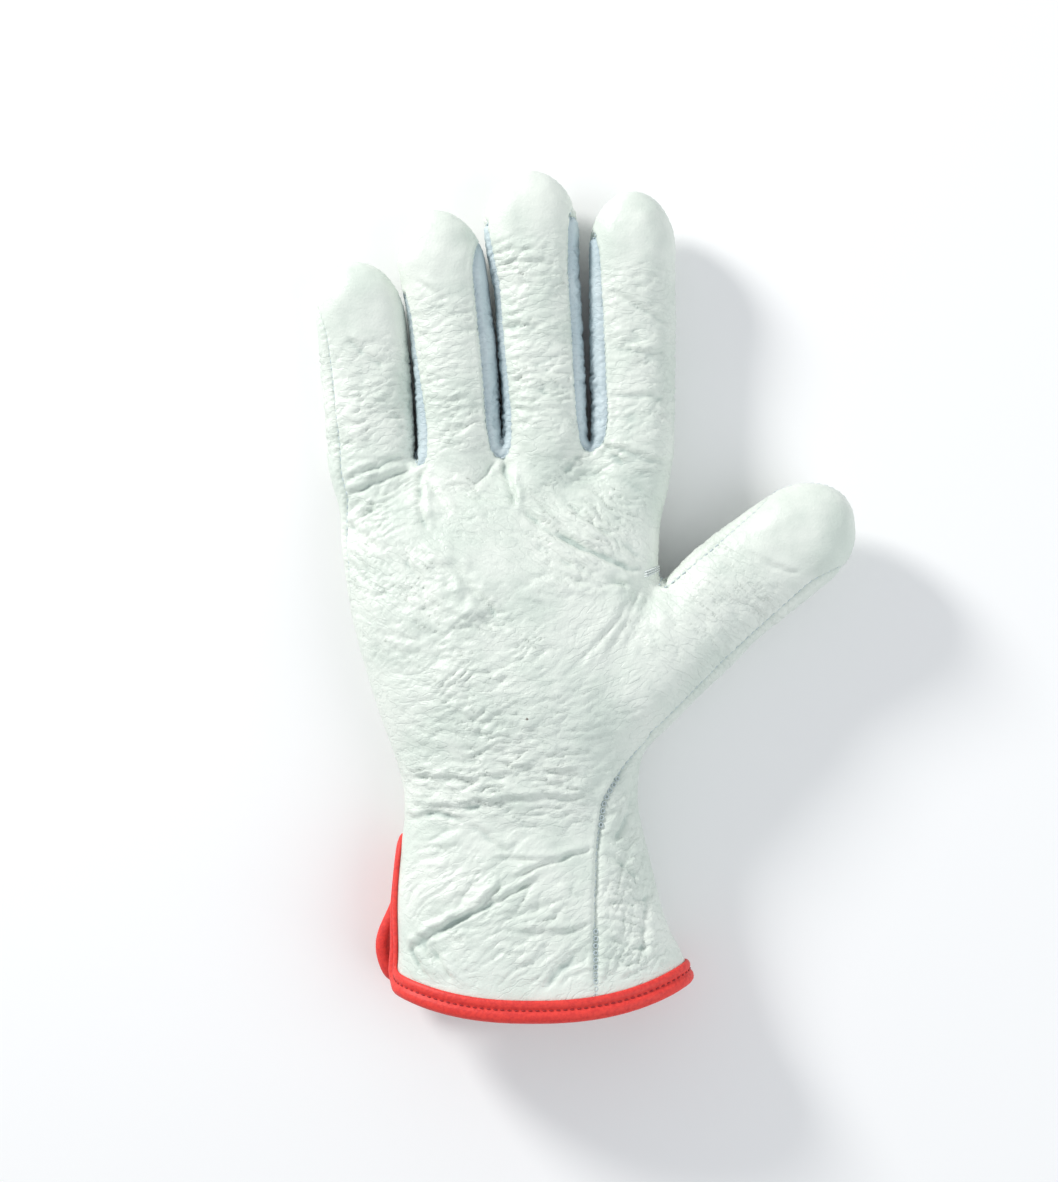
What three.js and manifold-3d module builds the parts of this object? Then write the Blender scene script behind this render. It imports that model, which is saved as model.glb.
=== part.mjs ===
// A leather driver glove for the right hand, lying on its back with its palm up.
// It is sewn from a palm panel, a back panel and three forked strips between the fingers,
// and a folded binding runs round the hem and up both edges of a vent at the little finger side.
// Millimetres. +Z is up out of the palm, +Y runs to the fingertips and +X to the thumb.
// The model is drawn with Y = 0 at the middle of the hem and X = 0 on the wrist's line, then centred.
import * as THREE from "three";
import { mergeVertices } from "three/addons/utils/BufferGeometryUtils.js";
import Module from "manifold-3d";

const wasm = await Module();
wasm.setup();

// Driving sizes
const LEATHER = 1.5; // thickness of every leather panel
const SEAM_GAP = 0.35; // room between two panels that are sewn edge to edge
const CUFF_LENGTH = 67; // hem to wrist
const CUFF_WIDTH = 94; // across the hem
const CUFF_DEPTH = 40; // hem, back to palm
const WRIST_WIDTH = 70;
const WRIST_DEPTH = 36;
const PALM_LENGTH = 96; // wrist to the finger roots
const PALM_WIDTH = 103; // across the knuckles
const PALM_DEPTH = 37; // at the heel of the hand
const FINGER_LENGTH = 84; // middle finger, from its fork to its tip
const FINGER_DEPTH = 22.5;
const FINGER_CURL = 5; // how far the fingertips lift off the surface
const THUMB_LENGTH = 104; // from inside the palm to the tip
const THUMB_WIDTH = 31.5;
const THUMB_DEPTH = 27;
const THUMB_ANGLE = 40; // degrees from across the palm towards the fingers
const THUMB_CURL = 7;
const HEM_RISE = 10; // how much higher the hem is cut at its sides than in its middle
const FORK_DROP = 1; // how far the bottom of a fork lies below the finger roots
const VENT_LENGTH = 43; // slit in the cuff, along the little finger side
const VENT_HEIGHT = 15; // middle of the slit above the surface
const VENT_TOP_WIDTH = 3.6;
const VENT_HEM_WIDTH = 9;
const VENT_CORNER = 3.5; // rounding of the panels where the slit meets the hem
const FLAP_FLARE = 4; // how far the back's vent edge stands out at the hem
const BINDING_WIDTH = 5.4; // how far it reaches over the leather
const BINDING = 1.1; // thickness of the binding tape
const BINDING_GAP = 0.3; // room between the tape and the leather
const SEAM_INSET = 3.2; // how far a seam that shows lies inside the outline of its finger
const GATHERS = 9; // elastic gathers across the back of the wrist
const GATHER_DEPTH = 1.6;

const MERGE = 2e-3; // points closer than this are one
const DEGREE = Math.PI / 180;
const ABOVE = 90; // clear over everything
const BEYOND = 300; // clear past the fingertips
const mix = (a, b, share) => a + (b - a) * share;
const smooth = (a, b, v) => THREE.MathUtils.smoothstep(v, a, b);

// Cuff and palm sections. along is a share of the cuff's or palm's length, spread goes from the wrist's
// width at 0 to the hem's or the knuckles' at 1, shift moves the middle by a share of the palm's width,
// and top and low are shares of the palm's depth.
const CUFF_ROWS = [
  { along: -0.16, spread: 0.99, shift: 0.124, top: 1.09, low: 0.04 },
  { along: 0, spread: 0.93, shift: 0.12, top: 1.08, low: 0.04 },
  { along: 0.11, spread: 0.85, shift: 0.113, top: 1.08, low: 0.04 },
  { along: 0.22, spread: 0.79, shift: 0.109, top: 1.07, low: 0.04 },
  { along: 0.37, spread: 0.56, shift: 0.08, top: 1.05, low: 0.02 },
  { along: 0.51, spread: 0.43, shift: 0.069, top: 1.03, low: 0.02 },
  { along: 0.69, spread: 0.26, shift: 0.06, top: 1, low: 0.03 },
  { along: 0.87, spread: 0.05, shift: 0.053, top: 0.97, low: 0.06 },
];
const PALM_ROWS = [
  { along: 0, spread: 0, shift: 0.05, top: 0.97, low: 0.08 },
  { along: 0.1, spread: 0.13, shift: 0.045, top: 0.98, low: 0.06 },
  { along: 0.17, spread: 0.27, shift: 0.041, top: 0.99, low: 0.04 },
  { along: 0.29, spread: 0.49, shift: 0.039, top: 1, low: 0.01 },
  { along: 0.45, spread: 0.67, shift: 0.022, top: 0.97, low: 0 },
  { along: 0.61, spread: 0.75, shift: 0, top: 0.91, low: 0 },
  { along: 0.74, spread: 0.78, shift: -0.012, top: 0.85, low: 0 },
  { along: 0.87, spread: 0.88, shift: -0.014, top: 0.74, low: 0 },
  { along: 0.96, spread: 0.86, shift: -0.013, top: 0.63, low: 0.02 },
  { along: 1.03, spread: 0.7, shift: -0.013, top: 0.47, low: 0.12 },
];

// Fingers. across and drop place the root on the knuckle line, as shares of the palm's width, length and
// depth are shares of the middle finger's, width and rootWidth of a quarter of the palm's, and bulb widens
// the end. splay leans the finger to the little finger's side in degrees and bow bends it the other way.
// The last four say how far each side's seam lies inside the outline, near the root and near the tip.
const FINGERS = [
  {
    name: "little",
    across: -0.381,
    drop: 0.068,
    length: 0.74,
    depth: 0.9,
    width: 1.06,
    rootWidth: 1.04,
    bulb: 0,
    splay: 4.8,
    bow: 0.03,
    leftRoot: 1.25,
    leftTip: 0.8,
    rightRoot: -0.1,
    rightTip: -0.1,
  },
  {
    name: "ring",
    across: -0.118,
    drop: 0.044,
    length: 0.9,
    depth: 0.97,
    width: 1.01,
    rootWidth: 1,
    bulb: 0.02,
    splay: 6.4,
    bow: 0.07,
    leftRoot: 1.1,
    leftTip: 0.1,
    rightRoot: 1.2,
    rightTip: 1.3,
  },
  {
    name: "middle",
    across: 0.136,
    drop: 0.01,
    length: 1,
    depth: 1,
    width: 1.01,
    rootWidth: 0.99,
    bulb: 0.1,
    splay: 4.2,
    bow: 0.03,
    leftRoot: 0.75,
    leftTip: 0.35,
    rightRoot: 0.8,
    rightTip: 0.95,
  },
  {
    name: "index",
    across: 0.394,
    drop: 0,
    length: 0.91,
    depth: 1,
    width: 1.012,
    rootWidth: 0.97,
    bulb: 0,
    splay: 0.2,
    bow: 0,
    leftRoot: 1.45,
    leftTip: 0.8,
    rightRoot: -1,
    rightTip: -1,
  },
];

// A digit's sections: along is a share of its length, width, depth, low and shift of its width and depth
const FINGER_ROWS = [
  { along: -0.4, width: 0.5, depth: 0.8, low: 0.35, shift: 0 },
  { along: -0.2, width: 0.86, depth: 1.05, low: 0.1, shift: 0 },
  { along: 0, width: 1.02, depth: 1.09, low: 0, shift: 0 },
  { along: 0.12, width: 1, depth: 1.05, low: 0, shift: 0 },
  { along: 0.36, width: 1, depth: 1.01, low: 0, shift: 0 },
  { along: 0.58, width: 1, depth: 0.99, low: 0, shift: 0 },
  { along: 0.75, width: 1, depth: 0.98, low: 0, shift: 0 },
];
const THUMB_ROWS = [
  { along: 0, width: 1.32, depth: 1.24, low: 0.06, shift: -0.03 },
  { along: 0.16, width: 1.2, depth: 1.24, low: 0, shift: 0 },
  { along: 0.3, width: 1.09, depth: 1.17, low: 0, shift: 0.015 },
  { along: 0.43, width: 1.055, depth: 1.09, low: 0, shift: 0.006 },
  { along: 0.56, width: 1.045, depth: 1.03, low: 0, shift: -0.037 },
  { along: 0.7, width: 1.05, depth: 1, low: 0, shift: -0.02 },
  { along: 0.82, width: 1.03, depth: 0.98, low: 0, shift: 0 },
];
const TIP_LENGTH = 0.68; // the rounded end's length as a share of the digit's width
const TIP_STEPS = [0, 0.4, 0.72, 0.94]; // how far round the fingertip each ring lies
const DIGIT_SIDES = 14;
const TOP_SIDES = 16; // facets over the palm side of the cuff and palm
const LOW_SIDES = 2 * GATHERS; // facets across the back, two for each gather
const SECTION_POWER = 2.3; // 2 is an ellipse, more is squarer
const FLAT = 1.1; // how much leather flattens where it rests

// A three.js geometry as a solid that can be cut and joined
function solidOf(geometry) {
  const bare = new THREE.BufferGeometry();
  bare.setAttribute("position", geometry.getAttribute("position"));
  if (geometry.index) bare.setIndex(geometry.index);
  const merged = mergeVertices(bare, MERGE);
  const vertProperties = merged.attributes.position.array;
  const triVerts = new Uint32Array(merged.index.array);
  return new wasm.Manifold(
    new wasm.Mesh({ numProp: 3, vertProperties, triVerts }),
  );
}

// A closed solid through rings of points that run anticlockwise seen from the last ring
function loft(rings) {
  const count = rings[0].length;
  const points = rings.flat();
  const faces = [];
  for (let ring = 0; ring < rings.length - 1; ring++)
    for (let i = 0; i < count; i++) {
      const a = ring * count + i;
      const b = ring * count + ((i + 1) % count);
      faces.push(a, b, b + count, a, b + count, a + count);
    }
  const middle = (ring) =>
    ring
      .reduce((sum, p) => sum.add(p), new THREE.Vector3())
      .divideScalar(count);
  const last = points.length - count;
  points.push(middle(rings[0]), middle(rings.at(-1)));
  for (let i = 0; i < count; i++) {
    const next = (i + 1) % count;
    faces.push(next, i, points.length - 2);
    faces.push(last + i, last + next, points.length - 1);
  }
  const geometry = new THREE.BufferGeometry().setFromPoints(points);
  geometry.setIndex(faces);
  return solidOf(geometry);
}

// An upright prism over an outline drawn in plan
function prism(outline, low, high) {
  const shape = new THREE.Shape(outline.map(([x, y]) => new THREE.Vector2(x, y)));
  const geometry = new THREE.ExtrudeGeometry(shape, {
    depth: high - low,
    bevelEnabled: false,
  });
  return solidOf(geometry.translate(0, 0, low));
}

const join = (solids) => solids.reduce((sum, solid) => sum.add(solid));

// A point on an oval section: x across and z up, with its underside flattened to its floor
function ovalPoint(angle, halfWidth, low, high) {
  const power = 2 / SECTION_POWER;
  const across = Math.cos(angle);
  const up = Math.sin(angle);
  const x = halfWidth * Math.sign(across) * Math.abs(across) ** power;
  const half = (high - low + FLAT) / 2;
  const z = low - FLAT + half + half * Math.sign(up) * Math.abs(up) ** power;
  return { x, z: Math.max(z, low) };
}

// The cuff and palm as one list of sections in millimetres
const hand = [
  ...CUFF_ROWS.map((row) => ({
    y: row.along * CUFF_LENGTH,
    width: mix(WRIST_WIDTH, CUFF_WIDTH, row.spread),
    middle: row.shift * PALM_WIDTH,
    top: row.top * mix(WRIST_DEPTH, CUFF_DEPTH - 0.08 * CUFF_DEPTH, row.spread),
    low: row.low * WRIST_DEPTH,
  })),
  ...PALM_ROWS.map((row) => ({
    y: CUFF_LENGTH + row.along * PALM_LENGTH,
    width: mix(WRIST_WIDTH, PALM_WIDTH, row.spread),
    middle: row.shift * PALM_WIDTH,
    top: row.top * PALM_DEPTH,
    low: row.low * WRIST_DEPTH,
  })),
];

// The section at any distance from the hem, straight between its neighbours as the facets are
function handSection(y) {
  let i = 1;
  while (i < hand.length - 1 && hand[i].y < y) i++;
  const share = (y - hand[i - 1].y) / (hand[i].y - hand[i - 1].y);
  const at = (key) => mix(hand[i - 1][key], hand[i][key], share);
  return { y, width: at("width"), middle: at("middle"), top: at("top"), low: at("low") };
}

// Angles round a palm section: evenly over the palm side, and in step with the gathers across the back
const handAngles = [
  ...Array.from({ length: TOP_SIDES }, (_, i) => (i / TOP_SIDES) * Math.PI),
  ...Array.from({ length: LOW_SIDES }, (_, i) => (1 + i / LOW_SIDES) * Math.PI),
];

// How deep the gathers lie at a point of the back, from 0 away from the wrist
function gather(angle, y) {
  const across = angle / Math.PI - 1;
  if (across <= 0) return 0;
  const near = smooth(0, 0.3, 1 - Math.abs(y - CUFF_LENGTH) / (0.5 * CUFF_LENGTH));
  return near * GATHER_DEPTH * Math.sin(across * GATHERS * Math.PI) ** 2;
}

// How far the back's vent edge leans out, below the slit and towards the hem
function flare(angle, y) {
  const nearHem = 1 - smooth(0.3 * VENT_LENGTH, VENT_LENGTH, y);
  const side = Math.cos(angle - 1.14 * Math.PI);
  return side > 0 && angle > Math.PI ? FLAP_FLARE * nearHem * side ** 6 : 0;
}

// One ring of the cuff or palm, drawn in by the inset
function handRing(y, inset) {
  const s = handSection(y);
  return handAngles.map((angle) => {
    const p = ovalPoint(angle, s.width / 2 - inset, s.low + inset, s.top - inset);
    return new THREE.Vector3(
      s.middle + p.x - flare(angle, y),
      y,
      p.z + gather(angle, y),
    );
  });
}

const handTube = (inset, from, to) =>
  loft(
    [from, ...hand.map((s) => s.y).filter((y) => y > from && y < to), to]
      .map((y) => handRing(y, inset))
      .map((ring) => ring.reverse()),
  );

// A digit's own frame: s runs from its root to its tip, u to its right and z up
const knuckleLine = CUFF_LENGTH + 1.1 * PALM_LENGTH;
const handMiddle = hand.at(-1).middle;
const fingers = FINGERS.map((f) => ({
  name: f.name,
  root: new THREE.Vector2(
    handMiddle + f.across * PALM_WIDTH,
    knuckleLine - f.drop * PALM_WIDTH,
  ),
  angle: (90 + f.splay) * DEGREE,
  length: f.length * FINGER_LENGTH,
  width: (f.width * PALM_WIDTH) / 4,
  rootWidth: (f.rootWidth * PALM_WIDTH) / 4,
  depth: f.depth * FINGER_DEPTH,
  bow: (f.bow * PALM_WIDTH) / 4,
  bulb: f.bulb,
  curl: FINGER_CURL,
  rows: FINGER_ROWS,
  left: [f.leftRoot * SEAM_INSET, f.leftTip * SEAM_INSET],
  right: [f.rightRoot * SEAM_INSET, f.rightTip * SEAM_INSET],
}));
const thumb = {
  name: "thumb",
  root: new THREE.Vector2(0.237 * PALM_WIDTH, CUFF_LENGTH + 0.23 * PALM_LENGTH),
  angle: THUMB_ANGLE * DEGREE,
  length: THUMB_LENGTH,
  width: THUMB_WIDTH,
  rootWidth: THUMB_WIDTH,
  depth: THUMB_DEPTH,
  bow: 0,
  bulb: 0,
  curl: THUMB_CURL,
  rows: THUMB_ROWS,
  left: [0.45 * SEAM_INSET, 0.5 * SEAM_INSET],
  right: [0.65 * SEAM_INSET, 1.1 * SEAM_INSET],
};

// A digit's section at s: half width, sideways shift, floor and top
function digitSection(digit, s) {
  const rows = digit.rows;
  const along = s / digit.length;
  let i = 1;
  while (i < rows.length - 1 && rows[i].along < along) i++;
  const share = Math.min((along - rows[i - 1].along) / (rows[i].along - rows[i - 1].along), 1);
  const at = (key) => mix(rows[i - 1][key], rows[i][key], share);
  const bulb = 1 + digit.bulb * smooth(0.5, 0.8, along);
  const width = mix(digit.rootWidth, digit.width, smooth(0, 0.5, along)) * bulb;
  const lift = digit.curl * Math.max(along, 0) ** 2;
  return {
    half: (at("width") * width) / 2,
    shift: at("shift") * width + digit.bow * Math.sin(Math.PI * Math.max(along, 0)),
    low: lift + at("low") * digit.depth,
    top: lift + at("depth") * digit.depth,
  };
}

// From a digit's own frame to the glove's
function place(digit, s, u, z) {
  const cos = Math.cos(digit.angle);
  const sin = Math.sin(digit.angle);
  return new THREE.Vector3(
    digit.root.x + s * cos + u * sin,
    digit.root.y + s * sin - u * cos,
    z,
  );
}

const tipStart = (digit) => digit.length - TIP_LENGTH * digit.width;

// A digit as a tube with a rounded tip, drawn in by the inset
function digitTube(digit, inset) {
  const ring = (s, section, share) => {
    const middle = (section.top + section.low) / 2;
    return Array.from({ length: DIGIT_SIDES }, (_, i) => {
      const angle = (-i / DIGIT_SIDES) * 2 * Math.PI;
      const p = ovalPoint(
        angle,
        section.half - inset,
        section.low + inset,
        section.top - inset,
      );
      const z = middle + (p.z - middle) * mix(1, share, 0.9);
      return place(digit, s, section.shift + p.x * share, z);
    });
  };
  const rings = digit.rows
    .map((row) => row.along * digit.length)
    .filter((s) => s < tipStart(digit))
    .map((s) => ring(s, digitSection(digit, s), 1));
  const tip = digit.length - inset - tipStart(digit);
  for (const step of TIP_STEPS) {
    const s = tipStart(digit) + tip * step;
    rings.push(ring(s, digitSection(digit, s), Math.sqrt(1 - step ** 2)));
  }
  return loft(rings);
}

// The web at the bottom of each fork, from the middle of one finger to the middle of the next
const WEB_LOW = 0.14;
const WEB_TOP = 0.8;
function web(i, inset) {
  const [a, b] = [fingers[i], fingers[i + 1]];
  const crotch = Math.max(a.root.y, b.root.y) - FORK_DROP;
  const section = digitSection(a, 0);
  const low = mix(section.low, section.top, WEB_LOW) + inset;
  const top = mix(section.low, section.top, WEB_TOP) - inset;
  return loft(
    [hand.at(-2).y, crotch - inset].map((y) => [
      new THREE.Vector3(a.root.x, y, low),
      new THREE.Vector3(a.root.x, y, top),
      new THREE.Vector3(b.root.x, y, top),
      new THREE.Vector3(b.root.x, y, low),
    ]),
  );
}

// The cutter over a strip of a digit: rows of left edge, right edge and the height of its underside
const strip = (digit, rows) =>
  loft(
    rows.map(({ s, left, right, low }) => [
      place(digit, s, left, low),
      place(digit, s, left, ABOVE),
      place(digit, s, right, ABOVE),
      place(digit, s, right, low),
    ]),
  );

// The palm's share of a digit, grown by a gap: its edges lie inside the outline where the seam shows,
// and past it round the tip, where the palm panel wraps over
const FINGER_SPLIT = 0.46; // height of the palm panel's edge where it is out of sight
const PAST = 0.8; // past the outline
const PANEL_ROWS = [
  { along: -0.4, fork: -2, outer: 0.5 },
  { along: -0.05, fork: -0.4, outer: 0.9 },
  { along: 0.01, fork: 0.7, outer: 1 },
  { along: 0.12, fork: 0.95, outer: 1 },
  { along: 0.6, fork: 1, outer: 1 },
];
function palmStrip(digit, rows, grow) {
  const row = (s, inset) => {
    const section = digitSection(digit, s);
    const share = THREE.MathUtils.clamp(s / tipStart(digit), 0, 1);
    const left = mix(...digit.left, share);
    const right = mix(...digit.right, share);
    const edge = (seam, kind) => section.half + grow - (seam > 0 ? inset[kind] * seam : seam);
    return {
      s,
      left: section.shift - edge(left, digit.name === "little" ? "outer" : "fork"),
      right: section.shift + edge(right, "fork"),
      low: mix(section.low, section.top, FINGER_SPLIT) - grow,
    };
  };
  const cuts = rows.map((r) => row(r.along * digit.length, r));
  const tip = digit.length - tipStart(digit);
  const wrap = (seam) => ({ fork: seam, outer: seam });
  cuts.push(row(tipStart(digit) - 0.1 * tip, wrap(0.9)), row(tipStart(digit) + 0.2 * tip, wrap(0.5)));
  const past = row(tipStart(digit) + 0.5 * tip, wrap(-0.2));
  cuts.push(past, { ...past, s: digit.length + PAST });
  return strip(digit, cuts);
}

// Heights of the seam between palm and back along the two sides of the hand, and the plan line where it
// shows. along is a share of the way from the hem to the finger roots, and seam a share of the palm's width.
const HAND_LENGTH = hand.at(-1).y;
const SIDE_ROWS = [
  { along: -0.08, inset: -1, seam: 0.267 },
  { along: 0.2, inset: -1, seam: 0.267 },
  { along: 0.3, inset: -1, seam: 0.274 },
  { along: 0.39, inset: -1, seam: 0.293 },
  { along: 0.45, inset: -1, seam: 0.355 },
  { along: 0.5, inset: -1, seam: 0.43 },
  { along: 0.6, inset: -1, seam: 0.45 },
  { along: 0.7, inset: -1, seam: 0.45 },
  { along: 0.75, inset: 0.15, seam: 0.45 },
  { along: 0.8, inset: 0.3, seam: 0.48 },
  { along: 0.86, inset: 0.45, seam: 0.49 },
  { along: 0.93, inset: 0.75, seam: 0.52 },
  { along: 1, inset: 0.9, seam: 0.52 },
];
function palmPlan(grow) {
  return loft(
    SIDE_ROWS.map((row) => {
      const y = row.along * HAND_LENGTH;
      const s = handSection(y);
      const left = s.middle - s.width / 2 + (row.inset > 0 ? row.inset * SEAM_INSET : -3 * PAST) - grow;
      const right = row.seam * PALM_WIDTH + grow;
      const low = mix(s.low, s.top, FINGER_SPLIT) - grow;
      return [
        new THREE.Vector3(left, y, low),
        new THREE.Vector3(left, y, ABOVE),
        new THREE.Vector3(right, y, ABOVE),
        new THREE.Vector3(right, y, low),
      ];
    }),
  );
}

// The thumb's palm side stops at its seams, and inside the hand it starts at the hand's own seam
const THUMB_PANEL_ROWS = [
  { along: 0.05, fork: 1.6 },
  { along: 0.16, fork: 1 },
  { along: 0.43, fork: 1 },
  { along: 0.75, fork: 1 },
];

// The part of the glove that a forked strip covers, beside one finger: from its lower seam up
const FORK_ROWS = [
  { along: -0.1, low: 0.2 },
  { along: 0.3, low: 0.17 },
  { along: 0.6, low: 0.2 },
  { along: 0.82, low: 0.44 },
];
function forkSide(digit, side, grow) {
  return strip(
    digit,
    FORK_ROWS.map(({ along, low }, i) => {
      const section = digitSection(digit, along * digit.length);
      const outer = section.shift + side * (section.half + 1 + grow);
      const inner = section.shift + side * grow * -1;
      return {
        s: along * digit.length - (i === 0 ? grow : 0) + (i === FORK_ROWS.length - 1 ? grow : 0),
        left: Math.min(inner, outer),
        right: Math.max(inner, outer),
        low: mix(section.low, section.top, low) - grow,
      };
    }),
  );
}

// The hem's line in plan: lowest near the middle of the palm and higher at both sides
const hemMiddle = 0.08 * PALM_WIDTH;
const hemLine = (x) => HEM_RISE * (Math.abs(x - hemMiddle) / (CUFF_WIDTH / 2)) ** 2.4;

// Everything on the hand's side of the hem and outside the vent, drawn in by an offset from both edges
function insideHem(offset) {
  const steps = 12;
  const reach = 0.75 * CUFF_WIDTH;
  const outline = Array.from({ length: steps + 1 }, (_, i) => {
    const x = hemMiddle + mix(-reach, reach, i / steps);
    return [x, hemLine(x) + offset];
  });
  outline.push([hemMiddle + 2 * reach, BEYOND], [hemMiddle - 2 * reach, BEYOND]);
  const kept = prism(outline, -ABOVE, ABOVE);
  return kept.subtract(ventSlit(offset));
}

// The vent as a wedge through the little finger side's wall, with its corners flared at the hem
function ventSlit(offset) {
  const hemSide = hemLine(handSection(0).middle - CUFF_WIDTH / 2);
  const top = hemSide + VENT_LENGTH;
  const halfAt = (y) => {
    const wedge = mix(VENT_HEM_WIDTH, VENT_TOP_WIDTH, (y - hemSide) / VENT_LENGTH) / 2;
    const fromHem = THREE.MathUtils.clamp(y - hemSide, 0, VENT_CORNER);
    return wedge + VENT_CORNER - Math.sqrt(VENT_CORNER ** 2 - (VENT_CORNER - fromHem) ** 2);
  };
  const steps = [-2 * VENT_CORNER, 0, 0.08, 0.3, 0.6, 1].map((share) => hemSide + share * VENT_CORNER);
  steps[0] = hemSide - 2 * VENT_CORNER;
  const edge = [...steps, mix(hemSide, top, 0.5), top].map((y) => [y, halfAt(y) + offset]);
  edge.at(-1)[0] += offset;
  const outline = [
    ...edge.map(([y, half]) => [y, VENT_HEIGHT - half]),
    ...edge.map(([y, half]) => [y, VENT_HEIGHT + half]).reverse(),
  ];
  const shape = new THREE.Shape(outline.map(([y, z]) => new THREE.Vector2(y, z)));
  const geometry = new THREE.ExtrudeGeometry(shape, {
    depth: CUFF_WIDTH,
    bevelEnabled: false,
  });
  // The outline's own axes turn from across and up to along Y and Z, and the slit runs out to the left
  const basis = new THREE.Matrix4().makeBasis(
    new THREE.Vector3(0, 1, 0),
    new THREE.Vector3(0, 0, 1),
    new THREE.Vector3(1, 0, 0),
  );
  geometry.applyMatrix4(basis).translate(handSection(0).middle - 1.3 * CUFF_WIDTH, 0, 0);
  return solidOf(geometry);
}

const forks = [0, 1, 2];

// The whole glove as one wall of leather
const tubes = (inset) => {
  const from = inset > 0 ? 1.5 * hand[0].y : hand[0].y;
  return join([
    handTube(inset, from, hand.at(-1).y - inset),
    ...[...fingers, thumb].map((digit) => digitTube(digit, inset)),
    ...forks.map((i) => web(i, inset)),
  ]);
};
const glove = tubes(0).subtract(tubes(LEATHER)).intersect(insideHem(0));

const palmCutter = (grow) =>
  join([
    palmPlan(grow),
    ...fingers.map((finger) => palmStrip(finger, PANEL_ROWS, grow)),
    palmStrip(thumb, THUMB_PANEL_ROWS, grow),
  ]);
const forkCutter = (i, grow) =>
  forkSide(fingers[i], 1, grow).add(forkSide(fingers[i + 1], -1, grow));

const palm = glove.intersect(palmCutter(0));
const rest = glove.subtract(palmCutter(SEAM_GAP));
const forkSolids = forks.map((i) => rest.intersect(forkCutter(i, 0)));
const back = forks.reduce((left, i) => left.subtract(forkCutter(i, SEAM_GAP)), rest);

// The binding: a tape folded over the edge, inside and outside, round the hem and the vent
function hemBinding() {
  const reach = CUFF_LENGTH;
  const wall = (out, into) =>
    handTube(-out, hand[0].y, reach).subtract(handTube(LEATHER + into, 1.5 * hand[0].y, 1.1 * reach));
  const band = insideHem(-BINDING_GAP - BINDING).subtract(insideHem(BINDING_WIDTH));
  const tape = wall(BINDING_GAP + BINDING, BINDING_GAP + BINDING).intersect(band);
  return tape.subtract(wall(BINDING_GAP, BINDING_GAP).intersect(insideHem(-BINDING_GAP)));
}

const LEATHER_WHITE = { color: 0xdfe5df, roughness: 0.55, metalness: 0 };
const FORK_WHITE = { color: 0xd3dcdc, roughness: 0.6, metalness: 0 };
const BINDING_RED = { color: 0xd6352f, roughness: 0.5, metalness: 0 };

function geometryOf(solid) {
  const { vertProperties, triVerts } = solid.getMesh();
  const geometry = new THREE.BufferGeometry();
  geometry.setAttribute("position", new THREE.BufferAttribute(vertProperties, 3));
  geometry.setIndex(new THREE.BufferAttribute(triVerts, 1));
  return geometry;
}

// The biggest body of a solid, without the slivers that a cut can leave
const largest = (solid) =>
  solid.decompose().sort((a, b) => b.volume() - a.volume())[0];

function meshOf(name, solid, finish) {
  const clean = largest(solidOf(geometryOf(largest(solid))));
  const geometry = geometryOf(clean);
  const mesh = new THREE.Mesh(geometry, new THREE.MeshStandardMaterial(finish));
  mesh.name = name;
  return mesh;
}

const gloveGroup = new THREE.Group();
gloveGroup.add(
  meshOf("palm_panel", palm, LEATHER_WHITE),
  meshOf("back_panel", back, LEATHER_WHITE),
  ...forks.map((i) =>
    meshOf(`${fingers[i].name}_${fingers[i + 1].name}_fork`, forkSolids[i], FORK_WHITE),
  ),
  meshOf("hem_binding", hemBinding(), BINDING_RED),
);

// The part's origin is under the middle of its outline, on the surface that it lies on
const box = new THREE.Box3().setFromObject(gloveGroup);
const centre = box.getCenter(new THREE.Vector3());
gloveGroup.children.forEach((mesh) => mesh.geometry.translate(-centre.x, -centre.y, -box.min.z));

export default gloveGroup;
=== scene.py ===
# %% [markdown]
# # A leather driver glove
# The glove is sewn from a few flat pieces of soft white leather: a palm, a back and three forked strips
# between the fingers. A red tape binds the hem and the vent at the little finger's side. It lies on its
# back with the palm up, filled out as if a hand had just left it.
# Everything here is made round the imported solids, which are loaded first and never moved.

import math

import bpy
import numpy as np
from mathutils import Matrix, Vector
from mathutils.bvhtree import BVHTree
from mathutils.kdtree import KDTree


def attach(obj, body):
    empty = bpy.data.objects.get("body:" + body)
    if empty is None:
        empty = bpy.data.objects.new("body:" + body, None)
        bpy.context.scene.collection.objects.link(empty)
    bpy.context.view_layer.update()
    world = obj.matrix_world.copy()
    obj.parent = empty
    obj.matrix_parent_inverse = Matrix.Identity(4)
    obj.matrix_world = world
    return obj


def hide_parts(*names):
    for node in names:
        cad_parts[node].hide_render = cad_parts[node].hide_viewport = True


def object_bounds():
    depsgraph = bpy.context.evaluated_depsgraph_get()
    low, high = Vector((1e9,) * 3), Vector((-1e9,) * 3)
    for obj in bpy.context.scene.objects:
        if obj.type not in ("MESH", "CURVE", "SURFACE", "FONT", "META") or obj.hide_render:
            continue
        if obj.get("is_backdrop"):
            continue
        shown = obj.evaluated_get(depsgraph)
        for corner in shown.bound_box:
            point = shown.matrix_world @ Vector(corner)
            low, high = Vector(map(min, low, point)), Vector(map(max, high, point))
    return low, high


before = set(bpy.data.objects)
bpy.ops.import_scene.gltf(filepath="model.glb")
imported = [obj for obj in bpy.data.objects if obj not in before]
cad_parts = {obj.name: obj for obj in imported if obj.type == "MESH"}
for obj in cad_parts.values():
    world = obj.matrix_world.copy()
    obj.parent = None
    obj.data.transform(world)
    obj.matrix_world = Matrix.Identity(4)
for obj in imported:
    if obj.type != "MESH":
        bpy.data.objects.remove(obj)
cad_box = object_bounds()
MM = 0.001
print("solids:", ", ".join(sorted(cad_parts)))

# %% [markdown]
# ## The form under the leather
# The real glove gets its form from a hand. A hand is easy to describe with sections: ovals that change
# width and height from the hem to the knuckles, and along each finger. They could be modelled by hand,
# but rows of shares of a few named sizes keep the render and the solids the same shape, so the rows are
# the same ones as the solids use. Lengths are millimetres, with Y = 0 at the middle of the hem.

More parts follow.
